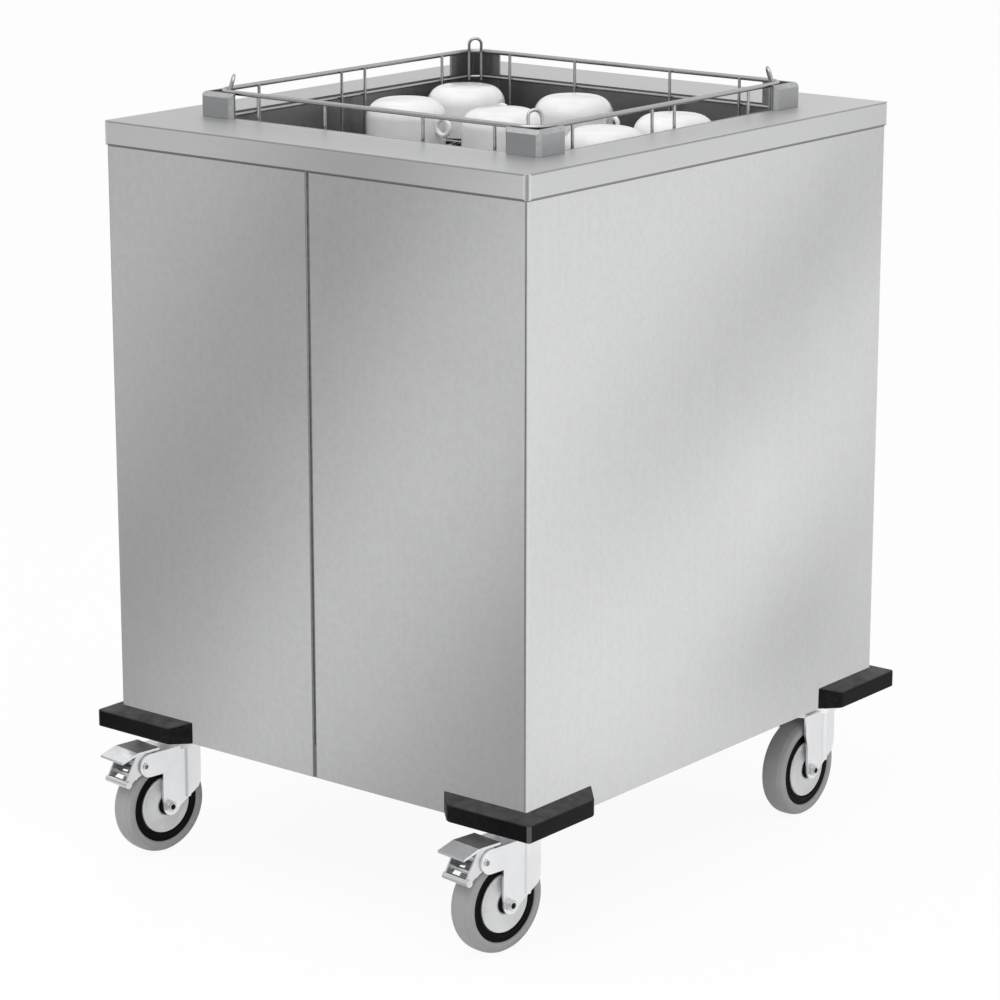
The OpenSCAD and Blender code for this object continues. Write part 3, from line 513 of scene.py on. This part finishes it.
def faces_the_well(face):
    """The inner faces, which take the dark sheet of painted shade."""
    spot, way = face.center, face.normal
    inward = way.x * (middle.x - spot.x) + way.y * (middle.y - spot.y)
    return abs(way.z) < 0.1 and inward > 0 and max(abs(way.x), abs(way.y)) > 0.99


# Painted shade on the faces that turn to the well.
refinished(guides, painted_shade_sheet, faces_the_well)

# The inner frame. Welded base, corner angles, spring beams and roller rails in plain steel
# sheet; only glimpses of it show down the well, so the CAD solids take the finish.
frame_steel = brushed_steel("frame sheet", (0.30, 0.302, 0.306), (120.0, 120.0, 8.0), rough=(0.38, 0.52))


def finished_node(node, material):
    """A CAD solid that is right as it is and only takes its finish."""
    mesh = frame["nodes"][node].data
    mesh.materials.clear()
    mesh.materials.append(material)


for node in ("base_frame", "floor_pan", "beams", "rails"):
    finished_node(node, frame_steel)
# The corner angles stand down the well and take the dark sheet of painted shade.
finished_node("posts", painted_shade_sheet)

# The lift. A folded tray carried at front and back by a sheet carriage, each with two
# shafts whose nylon rollers run in the rails.
# The tray's steel is made dark as painted shade, down in the well.
tray_shade_steel = brushed_steel("tray sheet darkened for painted shade", (0.16, 0.161, 0.164), (8.0, 160.0, 160.0), rough=(0.34, 0.46))
tray = softened("platform", "platform_tray", 0.0012)
fitted(tray, tray_shade_steel, "lift", "platform_steel", "platform_tray")
for end in ("front", "rear"):
    hanger = softened(f"carriage_{end}", f"carriage_{end}", 0.0005)
    fitted(hanger, frame_steel, "lift", "steel_frame", f"carriage_{end}")

# The grain of moulded and cast surfaces, and the lightening of what faces up: dust, and on the bumpers
# painted light on their tops as well
mottling, into, out = shader_group(
    "mottling",
    [("Grain", "NodeSocketFloat", 900.0)],
    [("Pebble", "NodeSocketFloat"), ("Patch", "NodeSocketFloat"), ("Dust and top light", "NodeSocketFloat")])
spot = mottling.nodes.new("ShaderNodeTexCoord")
pebble = mottling.nodes.new("ShaderNodeTexNoise")
pebble.inputs["Detail"].default_value = 2.0
mottling.links.new(spot.outputs["Object"], pebble.inputs["Vector"])
mottling.links.new(into.outputs["Grain"], pebble.inputs["Scale"])
mottling.links.new(pebble.outputs[0], out.inputs["Pebble"])
mottling.links.new(noise(mottling, spot.outputs["Object"], 28.0, 3.0), out.inputs["Patch"])
shape = mottling.nodes.new("ShaderNodeNewGeometry")
parts = mottling.nodes.new("ShaderNodeSeparateXYZ")
mottling.links.new(shape.outputs["Normal"], parts.inputs[0])
upward = spread(mottling, parts.outputs["Z"], 0.2, 1.0, 0.0, 1.0)
specks = spread(mottling, noise(mottling, spot.outputs["Object"], 70.0, 4.0), 0.3, 0.7, 0.5, 1.0)
mottling.links.new(reckoned(mottling, "MULTIPLY", upward, specks), out.inputs["Dust and top light"])

DUST_AND_TOP_LIGHT = (0.42, 0.417, 0.41)


def moulded(name, colour, rough, grain=900.0, depth=0.12, dust_and_top_light=0.25, wear=0.3, shine=0.5):
    material, tree, surface = new_material(name)
    surface.inputs["Specular IOR Level"].default_value = shine
    skin = use(tree, mottling, Grain=grain)
    edges = use(tree, rubbing)
    light = tuple(min(1, c * 1.05 + 0.002) for c in colour)
    dark = tuple(c * 0.95 for c in colour)
    plain = tinted(tree, spread(tree, skin.outputs["Patch"], 0.3, 0.7, 0, 1), dark, light)
    dusted_and_lit = tinted(tree, spread(tree, skin.outputs["Dust and top light"], 0, 1, 0, dust_and_top_light), plain, DUST_AND_TOP_LIGHT)
    worn = tinted(tree, spread(tree, edges.outputs["Mask"], 0, 1, 0, wear), dusted_and_lit,
                  tuple(min(1, c * 1.6 + 0.05) for c in colour))
    tree.links.new(worn, surface.inputs["Base Color"])
    gloss = spread(tree, skin.outputs["Patch"], 0.3, 0.7, rough - 0.06, rough + 0.06)
    tree.links.new(gloss, surface.inputs["Roughness"])
    raised(tree, surface, skin.outputs["Pebble"], depth, 0.0003)
    return material


nylon = moulded("natural nylon", (0.72, 0.70, 0.66), 0.4, dust_and_top_light=0.1)
for end in ("front", "rear"):
    for level in ("upper", "lower"):
        node = f"rollers_{end}_{level}"
        roller = softened(f"roller_set_{end}_{level}", node, 0.0006, steps=3, angle=40)
        fitted(roller, nylon, node, "roller_nylon", node)

# The springs. Four tension springs of 3.2 mm wire, drawn open even at rest, hang from bosses
# on the spring beams; their ends spiral in to the middle and run straight into the bosses.
TURNS, RINGS, TAIL_RINGS, TAIL_TURN = 18, 8, 6, 270
COIL, COIL_WIRE = 0.012, 0.0016
TAIL_RISE, STRAIGHT = 0.009, 2 * COIL_WIRE + 0.002


def wire_nodes():
    """Nodes that sweep wire along edges; closed runs stay closed."""
    tree = bpy.data.node_groups.new("wire along a path", "GeometryNodeTree")
    tree.interface.new_socket("Geometry", in_out="INPUT", socket_type="NodeSocketGeometry")
    radius = tree.interface.new_socket("Radius", in_out="INPUT", socket_type="NodeSocketFloat")
    sides = tree.interface.new_socket("Sides", in_out="INPUT", socket_type="NodeSocketInt")
    finish = tree.interface.new_socket("Finish", in_out="INPUT", socket_type="NodeSocketMaterial")
    tree.interface.new_socket("Geometry", in_out="OUTPUT", socket_type="NodeSocketGeometry")
    into, out = tree.nodes.new("NodeGroupInput"), tree.nodes.new("NodeGroupOutput")
    curve = tree.nodes.new("GeometryNodeMeshToCurve")
    ring = tree.nodes.new("GeometryNodeCurvePrimitiveCircle")
    sweep = tree.nodes.new("GeometryNodeCurveToMesh")
    sweep.inputs["Fill Caps"].default_value = True
    smooth = tree.nodes.new("GeometryNodeSetShadeSmooth")
    real = tree.nodes.new("GeometryNodeRealizeInstances")
    skin = tree.nodes.new("GeometryNodeSetMaterial")
    tree.links.new(into.outputs["Geometry"], curve.inputs["Mesh"])
    tree.links.new(into.outputs["Radius"], ring.inputs["Radius"])
    tree.links.new(into.outputs["Sides"], ring.inputs["Resolution"])
    tree.links.new(curve.outputs[0], sweep.inputs["Curve"])
    tree.links.new(ring.outputs[0], sweep.inputs["Profile Curve"])
    tree.links.new(sweep.outputs[0], smooth.inputs["Geometry"])
    tree.links.new(smooth.outputs[0], real.inputs[0])
    tree.links.new(real.outputs[0], skin.inputs["Geometry"])
    tree.links.new(into.outputs["Finish"], skin.inputs["Material"])
    tree.links.new(skin.outputs[0], out.inputs[0])
    return tree, {"Radius": radius.identifier, "Sides": sides.identifier, "Finish": finish.identifier}


wire_tree, wire_sockets = wire_nodes()


def path_mesh(runs):
    """Edges along each run of points; a run is (points, closed)."""
    points, edges = [], []
    for run, closed in runs:
        start = len(points)
        points += run
        edges += [(start + i, start + i + 1) for i in range(len(run) - 1)]
        if closed:
            edges.append((len(points) - 1, start))
    mesh = bpy.data.meshes.new("path")
    mesh.from_pydata(points, edges, [])
    return mesh


def wired(name, runs, radius, sides, finish):
    """Sweeps wire along the runs and keeps the result as a plain mesh."""
    worker = placed(name + " path", path_mesh(runs))
    sweep = worker.modifiers.new("wire", "NODES")
    sweep.node_group = wire_tree
    for key, value in (("Radius", radius), ("Sides", sides), ("Finish", finish)):
        sweep[wire_sockets[key]] = value
    worker.update_tag()
    graph = bpy.context.evaluated_depsgraph_get()
    mesh = bpy.data.meshes.new_from_object(worker.evaluated_get(graph))
    mesh.name = name
    bpy.data.objects.remove(worker)
    return placed(name, mesh)


def eased(t):
    return t * t * (3 - 2 * t)


def coil_path(foot, length, fine=3):
    """A spring's middle line: a straight end, a spiral out, the coils, and the same back."""
    rise = length - 2 * STRAIGHT - 2 * TAIL_RISE
    rings, tail = TURNS * RINGS * fine, TAIL_RINGS * fine
    run = [Vector((0, 0, 0))]
    for i in range(rings + 2 * tail + 1):
        if i < tail:
            t = i / tail
            angle, radius, height = TAIL_TURN * t, COIL * eased(t), TAIL_RISE * t
        elif i <= tail + rings:
            t = (i - tail) / rings
            angle, radius, height = TAIL_TURN + 360 * TURNS * t, COIL, TAIL_RISE + rise * t
        else:
            t = (i - tail - rings) / tail
            angle = TAIL_TURN + 360 * TURNS + TAIL_TURN * t
            radius, height = COIL * eased(1 - t), TAIL_RISE + rise + TAIL_RISE * t
        turn = math.radians(angle)
        run.append(Vector((radius * math.cos(turn), radius * math.sin(turn), STRAIGHT + height)))
    run.append(Vector((0, 0, length)))
    return [p + foot for p in run]


CORNERS = ("fl", "fr", "rl", "rr")
spring_steel = brushed_steel("oiled spring wire", (0.22, 0.225, 0.24), (60, 60, 60), rough=(0.25, 0.38))
for corner in CORNERS:
    low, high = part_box(f"spring_{corner}")
    foot = Vector(((low.x + high.x) / 2, (low.y + high.y) / 2, low.z))
    run = coil_path(foot, high.z - low.z)
    if corner in ("fl", "fr"):  # the front springs mirror the rear ones
        run = [Vector((p.x, 2 * foot.y - p.y, p.z)) for p in run]
    spring = wired(f"tension_spring_{corner}", [(run, False)], COIL_WIRE, 8, spring_steel)
    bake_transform(spring)
    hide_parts(f"spring_{corner}")

# The basket. Welded from electropolished steel wire: a stout top ring, a thinner one
# below it, uprights, a floor grid, and at each corner a loop that centres the next basket.
RIM_WIRE, THIN_WIRE, TOUCH = 0.006, 0.004, 0.00005
BEND, RIM_ABOVE, RING_DROP = 0.025, 0.030, 0.033
FLOOR_WIRES = 8
LOOP_HALF, LOOP_LEAN, LOOP_BEND, LOOP_RISE = 0.008, math.radians(17), 0.008, 0.0095
side_low, side_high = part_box("basket_rings")
centre = Vector(((side_low.x + side_high.x) / 2, (side_low.y + side_high.y) / 2, 0))
rim_z = deck_high.z + RIM_ABOVE
rim_c = (side_high.x - side_low.x) / 2 - RIM_WIRE / 2
ring_z = rim_z - RING_DROP
post_c = rim_c - RIM_WIRE / 2 - THIN_WIRE / 2 + TOUCH
ring_c = post_c + THIN_WIRE - TOUCH
low_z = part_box("basket_floor")[0].z + THIN_WIRE / 2


def bent_ring(half, bend, height, steps=10):
    """A closed square run with rounded corners."""
    run = []
    for quarter in range(4):
        for i in range(steps + 1):
            turn = math.radians(90 * quarter + 90 * i / steps)
            across = half - bend
            corner = Matrix.Rotation(math.radians(90 * quarter), 3, "Z") @ Vector((across, across, 0))
            run.append(centre + corner + Vector((bend * math.cos(turn), bend * math.sin(turn), height)))
    return run, True


def loop_run(quarter):
    """A stacking loop: two legs up inside a corner, bent outwards, joined by a half ring."""
    leg = math.sqrt((BEND - RIM_WIRE / 2 - THIN_WIRE / 2 + TOUCH) ** 2 - LOOP_HALF ** 2)
    bend_z = rim_z - 0.001
    half = [(0, ring_z - THIN_WIRE), (0, bend_z)]
    for i in range(1, 6):
        turn = LOOP_LEAN * i / 5
        half.append((-LOOP_BEND * (1 - math.cos(turn)), bend_z + LOOP_BEND * math.sin(turn)))
    lean = Vector((-math.sin(LOOP_LEAN), math.cos(LOOP_LEAN)))
    top = Vector(half[-1]) + lean * LOOP_RISE
    points = [(u, -LOOP_HALF, w) for u, w in half]
    for i in range(13):
        turn = math.pi * i / 12
        reach = top + lean * LOOP_HALF * math.sin(turn)
        points.append((reach.x, -LOOP_HALF * math.cos(turn), reach.y))
    points += [(u, LOOP_HALF, w) for u, w in reversed(half)]
    spin = Matrix.Rotation(math.radians(90 * quarter), 3, "Z")
    swing = Matrix.Rotation(math.radians(45), 3, "Z")
    hub = Vector((rim_c - BEND, rim_c - BEND, 0))
    return [centre + spin @ (hub + swing @ Vector((leg + u, v, 0)) + Vector((0, 0, w)))
            for u, v, w in points], False


wire_steel = brushed_steel("electropolished wire", (0.40, 0.403, 0.408), (90, 90, 90), rough=(0.22, 0.34))


def basket_wires(name, runs, thick=THIN_WIRE, sides=12):
    return wired(name, runs, thick / 2, sides, wire_steel)


def straight(x0, y0, z0, x1, y1, z1):
    return [centre + Vector((x0, y0, z0)), centre + Vector((x1, y1, z1))], False


top_ring = basket_wires("top_ring", [bent_ring(rim_c, BEND, rim_z)], RIM_WIRE, 16)
middle_ring = basket_wires("middle_ring", [bent_ring(ring_c, BEND + ring_c - rim_c, ring_z)])
rings = bmesh.new()
for ring in (top_ring, middle_ring):
    rings.from_mesh(ring.data)
ring_mesh = bpy.data.meshes.new("wire_rings")
rings.to_mesh(ring_mesh)
rings.free()
for ring in (top_ring, middle_ring):
    bpy.data.objects.remove(ring)
fitted(placed("wire_rings", ring_mesh), wire_steel, "basket", "wire_steel", "basket_rings")

# Where the uprights stand, as shares of half a side's straight run
FRONT_SHARES, SIDE_SHARES = (0.34, 0.82), (0.1, 0.79)
side_run = rim_c - BEND
foot_z = low_z + THIN_WIRE / 2 - TOUCH
uprights = []
for sign in (-1, 1):
    for way in (-1, 1):
        for share in FRONT_SHARES:
            at = way * share * side_run
            uprights.append(straight(at, sign * post_c, foot_z, at, sign * post_c, rim_z))
        for share in SIDE_SHARES:
            at = way * share * side_run
            uprights.append(straight(sign * post_c, at, foot_z, sign * post_c, at, rim_z))
floor_at = [(post_c - BEND) * (2 * i / (FLOOR_WIRES - 1) - 1) for i in range(FLOOR_WIRES)]
cross_z = low_z + THIN_WIRE - TOUCH
floor_runs = [bent_ring(post_c, BEND, low_z)]
floor_runs += [straight(at, -post_c, low_z, at, post_c, low_z) for at in floor_at]
cross_runs = [straight(-post_c, at, cross_z, post_c, at, cross_z) for at in floor_at]
loop_runs = [loop_run(quarter) for quarter in range(4)]
for name, runs, node in (("wire_uprights", uprights, "basket_uprights"),
                         ("stacking_loops", loop_runs, "basket_loops"),
                         ("floor_wires", floor_runs, "basket_floor"),
                         ("crossing_wires", cross_runs, "basket_cross")):
    fitted(basket_wires(name, runs), wire_steel, "basket", "wire_steel", node)

# The cups. White glazed porcelain, cast, with a rounded shoulder, a slightly crowned base
# and a round handle; they stand upside down on the basket's floor.
CUP_RADIUS, CUP_HEIGHT, CUP_WALL = 0.050, 0.064, 0.0035
SHOULDER, CROWN, WAIST = 0.023, 0.0015, 0.025
HANDLE_RADIUS, HANDLE_THICK = 0.010, 0.003
CUPS_AT = ((-0.156, 0.001, 0), (-0.175, 0.143, 0), (-0.008, 0.008, 0),
           (-0.008, 0.152, 0), (0.186, -0.040, 90), (0.186, 0.100, 90))


def spun(name, profile, steps, place, closed=True):
    """Revolves points (radius, height) about local Z and sets the result in place."""
    shape = bmesh.new()
    rings = []
    for i in range(steps):
        turn = 2 * math.pi * i / steps
        rings.append([shape.verts.new((r * math.cos(turn), r * math.sin(turn), z)) for r, z in profile])
    count = len(profile)
    for i in range(steps):
        a, b = rings[i], rings[(i + 1) % steps]
        for k in range(count if closed else count - 1):
            m = (k + 1) % count
            shape.faces.new((a[k], b[k], b[m], a[m]))
    bmesh.ops.remove_doubles(shape, verts=shape.verts, dist=1e-7)
    bmesh.ops.recalc_face_normals(shape, faces=shape.faces)
    shape.transform(place)
    mesh = bpy.data.meshes.new(name)
    shape.to_mesh(mesh)
    shape.free()
    for face in mesh.polygons:
        face.use_smooth = True
    return mesh


def joined(name, *meshes):
    whole = bmesh.new()
    for mesh in meshes:
        whole.from_mesh(mesh)
    mesh = bpy.data.meshes.new(name)
    whole.to_mesh(mesh)
    whole.free()
    return placed(name, mesh)


def arc(cx, cz, r, start, end, steps):
    return [(cx + r * math.cos(math.radians(start + (end - start) * i / steps)),
             cz + r * math.sin(math.radians(start + (end - start) * i / steps))) for i in range(steps + 1)]


crown_reach = CUP_RADIUS - SHOULDER + SHOULDER * math.cos(math.radians(84))
shoulder_z = CUP_HEIGHT - SHOULDER - CROWN + 0.0001
cup_profile = (
    [(max(1e-5, crown_reach * i / 6), CUP_HEIGHT - CROWN * (i / 6) ** 2) for i in range(6)]
    + arc(CUP_RADIUS - SHOULDER, shoulder_z, SHOULDER, 84, 0, 14)
    + [(CUP_RADIUS, WAIST), (CUP_RADIUS, 0.0016)]
    + arc(CUP_RADIUS - CUP_WALL / 2, CUP_WALL / 2, CUP_WALL / 2, 0, -180, 8)[1:]
    + [(CUP_RADIUS - CUP_WALL, WAIST)]
    + arc(CUP_RADIUS - SHOULDER, shoulder_z, SHOULDER - CUP_WALL, 0, 90, 10)
    + [(1e-5, CUP_HEIGHT - CUP_WALL - 0.001)])
cup_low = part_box("cup_a")[0].z
glaze = moulded("white glaze", (0.86, 0.86, 0.855), 0.16, grain=60.0, depth=0.01, dust_and_top_light=0.0, wear=0.0)
for letter, (x, y, way) in zip("abcdef", CUPS_AT):
    stand = Matrix.Translation(centre + Vector((x, y, cup_low))) @ Matrix.Rotation(math.radians(way), 4, "Z")
    hold = stand @ Matrix.Translation((CUP_RADIUS + HANDLE_RADIUS, 0, CUP_HEIGHT / 2))
    hold = hold @ Matrix.Rotation(math.radians(90), 4, "X")
    handle = spun("handle", arc(HANDLE_RADIUS, 0, HANDLE_THICK, 0, 330, 11), 36, hold)
    fitted(joined(f"cup_upside_down_{letter}", spun("cup", cup_profile, 96, stand, closed=False), handle),
           glaze, "basket", "porcelain", f"cup_{letter}")

# The corner bumpers. Moulded black rubber angles with a sloped top and ends cut at 45
# degrees, screwed on from inside the base frame.
# The bumpers' dust is set high, and also paints the light falling on their sloped tops.
bumper_rubber = moulded("black bumper rubber", (0.004, 0.004, 0.0043), 0.42, grain=700.0,
                        dust_and_top_light=0.2, wear=0.4, shine=0.06)
# A lighter rubber, as a painted highlight on the bumpers' rounded upright corners.
corner_highlight_rubber = moulded("bumper corner with painted highlight", (0.10, 0.10, 0.102), 0.5, grain=500.0,
                        depth=0.2, dust_and_top_light=0.1, shine=0.1)
CORNER_ROUNDING = 0.003
base_low, base_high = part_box("base_frame")


def upright_corner(a, b):
    """An upright edge on the outside of a bumper."""
    spot = (a + b) / 2
    outside = max(base_low.x - spot.x, spot.x - base_high.x, base_low.y - spot.y, spot.y - base_high.y)
    return (a - b).xy.length < 1e-5 and outside > 2 * CORNER_ROUNDING


def rubbed(face):
    """The narrow strips that round an upright edge, which take a painted highlight."""
    return abs(face.normal.z) < 0.1 and face.area < 0.00008


for corner in CORNERS:
    bumper = softened(f"corner_bumper_{corner}", f"bumper_{corner}", 0.0016, steps=3,
                      folded=upright_corner, fold=CORNER_ROUNDING)
    bumper.visible_glossy = False
    fitted(bumper, bumper_rubber, "cabinet", "bumper_rubber", f"bumper_{corner}")
    # Painted highlight on the rounded upright corners.
    refinished(bumper, corner_highlight_rubber, rubbed)

# The caster plates and fasteners. Zinc-plated bolting plates with their bearing cup and
# kingpin, hexagon bolts through them, and the bumpers' screws inside the base frame.
zinc = brushed_steel("zinc plating", (0.78, 0.785, 0.795), (45, 45, 45), rough=(0.28, 0.40))
bolt_zinc = brushed_steel("zinc bolt", (0.34, 0.343, 0.35), (90, 90, 90), rough=(0.25, 0.38))
fitted(softened("caster_mounts", "caster_plates", 0.0006), zinc, "cabinet", "steel_zinc", "caster_plates")
fitted(softened("screws_and_bolts", "fasteners", 0.0005), bolt_zinc, "cabinet", "steel_bolt", "fasteners")

# The casters. A pressed zinc-plated fork with a bead down each leg, on a ball race; a grey
# rubber tyre on a black nylon wheel with a pale dished cover on each side, on a through
# bolt. The two front ones have a foot pedal that presses a bar on the tyre.
TYRE_OUT, TYRE_IN, TYRE_HALF, COVER_RADIUS = 0.0625, 0.048, 0.016, 0.036
AXLE_REACH, AXLE_HOLE, PIN_REACH, PIN_HOLE = 0.0291, 0.0036, 0.0236, 0.0028
tyre_rubber = moulded("grey tyre rubber", (0.35, 0.35, 0.355), 0.55, grain=500.0, depth=0.08,
                      dust_and_top_light=0.1, wear=0.2)
rim_nylon = moulded("black wheel nylon", (0.003, 0.003, 0.0032), 0.4, grain=600.0, depth=0.05,
                    dust_and_top_light=0.01, wear=0.05, shine=0.04)
cover_paint = moulded("pale wheel cover", (0.76, 0.765, 0.77), 0.3, grain=300.0, depth=0.02,
                      dust_and_top_light=0.02, wear=0.05)


def both_sides(points):
    """A profile's half and its mirror image."""
    return points + [(r, -z) for r, z in reversed(points)]


tyre_profile = both_sides([
    (TYRE_IN, TYRE_HALF - 0.0022), (TYRE_IN + 0.0012, TYRE_HALF - 0.0006), (TYRE_IN + 0.003, TYRE_HALF),
    (0.0545, TYRE_HALF), (0.0552, TYRE_HALF - 0.0004), (0.0565, TYRE_HALF - 0.0002),
    (0.0583, TYRE_HALF - 0.0014), (0.0597, TYRE_HALF - 0.0034), (0.0603, TYRE_HALF - 0.0047),
    (0.0605, TYRE_HALF - 0.0053), (0.0610, TYRE_HALF - 0.0054), (0.0613, TYRE_HALF - 0.0062),
    (0.0620, TYRE_HALF - 0.0085), (0.0624, TYRE_HALF - 0.0115), (TYRE_OUT, 0.0016), (TYRE_OUT, 0.0006)])
rim_profile = both_sides([
    (0.0052, 0.0186), (0.0118, 0.0186), (0.0120, 0.0060), (COVER_RADIUS + 0.0005, 0.0060),
    (COVER_RADIUS + 0.001, 0.0128), (COVER_RADIUS + 0.0022, 0.0146), (0.0400, 0.0150),
    (0.0415, 0.0140), (0.0440, 0.0136), (0.0460, 0.0142), (TYRE_IN - 0.0002, 0.0138)])
cover_profile = [
    (0.0122, 0.0158), (0.0150, 0.0158), (0.0172, 0.0150), (0.0215, 0.0128), (0.0290, 0.0130),
    (0.0325, 0.0138), (0.0345, 0.0150), (0.0358, 0.0150), (0.0364, 0.0138), (0.0364, 0.0100),
    (0.0350, 0.0095), (0.0200, 0.0095), (0.0122, 0.0120)]
head_zinc = brushed_steel("zinc bolt head", (0.62, 0.625, 0.635), (90, 90, 90), rough=(0.28, 0.4))
# Near-black discs as painted shade, where the pins' ends are drilled hollow.
hole_shade_paint = moulded("hollow end", (0.012, 0.012, 0.012), 0.6, dust_and_top_light=0.1, wear=0.0, shine=0.1)
joints = {joint["name"]: joint for joint in frame["joints"]}


def painted_hole_shades(name, joint, reach, radius, body):
    """Discs of painted shade at the drilled ends of a pin that lies on a joint's axis."""
    axle = Vector(joint["axis"]).normalized()
    ends = []
    for sign in (-1, 1):
        lay = (axle * sign).to_track_quat("Z", "Y").to_matrix().to_4x4()
        at = Matrix.Translation(Vector(joint["pos_m"]) + axle * sign * reach)
        ends.append(spun("end", [(1e-5, -0.0001), (radius * 0.8, -0.0001), (radius, 0.0001)], 24,
                         at @ lay, closed=False))
    fitted(joined(name, *ends), hole_shade_paint, body, "steel_bolt")


for corner in CORNERS:
    roll = joints[f"wheel_{corner}_roll"]
    axle = Vector(roll["axis"]).normalized()
    forward = Vector((0, 0, 1)).cross(axle)
    lay = Matrix((forward, Vector((0, 0, 1)), axle)).transposed().to_4x4()
    stance = Matrix.Translation(roll["pos_m"]) @ lay
    flip = stance @ Matrix.Rotation(math.pi, 4, "X")
    wheel = f"wheel_{corner}"
    tyre = placed(f"tyre_rubber_{corner}", spun("tyre", tyre_profile, 120, stance))
    fitted(tyre, tyre_rubber, wheel, "tyre_rubber", f"tyre_{corner}")
    body = placed(f"wheel_body_{corner}", spun("rim", rim_profile, 96, stance))
    fitted(body, rim_nylon, wheel, "rim_nylon", f"rim_{corner}")
    covers = joined(f"wheel_covers_{corner}",
                    *(spun("cover", cover_profile, 96, side) for side in (stance, flip)))
    fitted(covers, cover_paint, wheel, "cover_plastic", f"cover_{corner}")
    fork = softened(f"caster_fork_{corner}", f"fork_{corner}", 0.0007)
    fitted(fork, zinc, f"caster_{corner}", "steel_zinc", f"fork_{corner}")
    bolt = softened(f"axle_bolt_{corner}", f"axle_{corner}", 0.0012)
    fitted(bolt, head_zinc, f"caster_{corner}", "steel_bolt", f"axle_{corner}")
    painted_hole_shades(f"axle_hole_shades_{corner}", roll, AXLE_REACH, AXLE_HOLE, f"caster_{corner}")

pedal_zinc = brushed_steel("bright pedal plating", (0.70, 0.705, 0.715), (60, 60, 60),
                           rough=(0.22, 0.3), depth=0.04)
# A dark copy of the plating, as a painted reflection of the black bumper above the pedal.
pedal_top_reflection_zinc = brushed_steel("pedal top plating with painted dark reflection", (0.17, 0.171, 0.174), (200, 40, 200),
                             rough=(0.34, 0.46), depth=0.1)
for corner in ("fl", "fr"):
    pedal = softened(f"brake_pedal_{corner}", f"pedal_{corner}", 0.0009, steps=3)
    fitted(pedal, pedal_zinc, f"pedal_{corner}", "steel_zinc", f"pedal_{corner}")
    # Painted dark reflection on the pedal's upward faces.
    refinished(pedal, pedal_top_reflection_zinc, lambda face: face.normal.z > 0.99)
    press = joints[f"brake_{corner}_press"]
    painted_hole_shades(f"pedal_pin_hole_shades_{corner}", press, PIN_REACH, PIN_HOLE, f"pedal_{corner}")
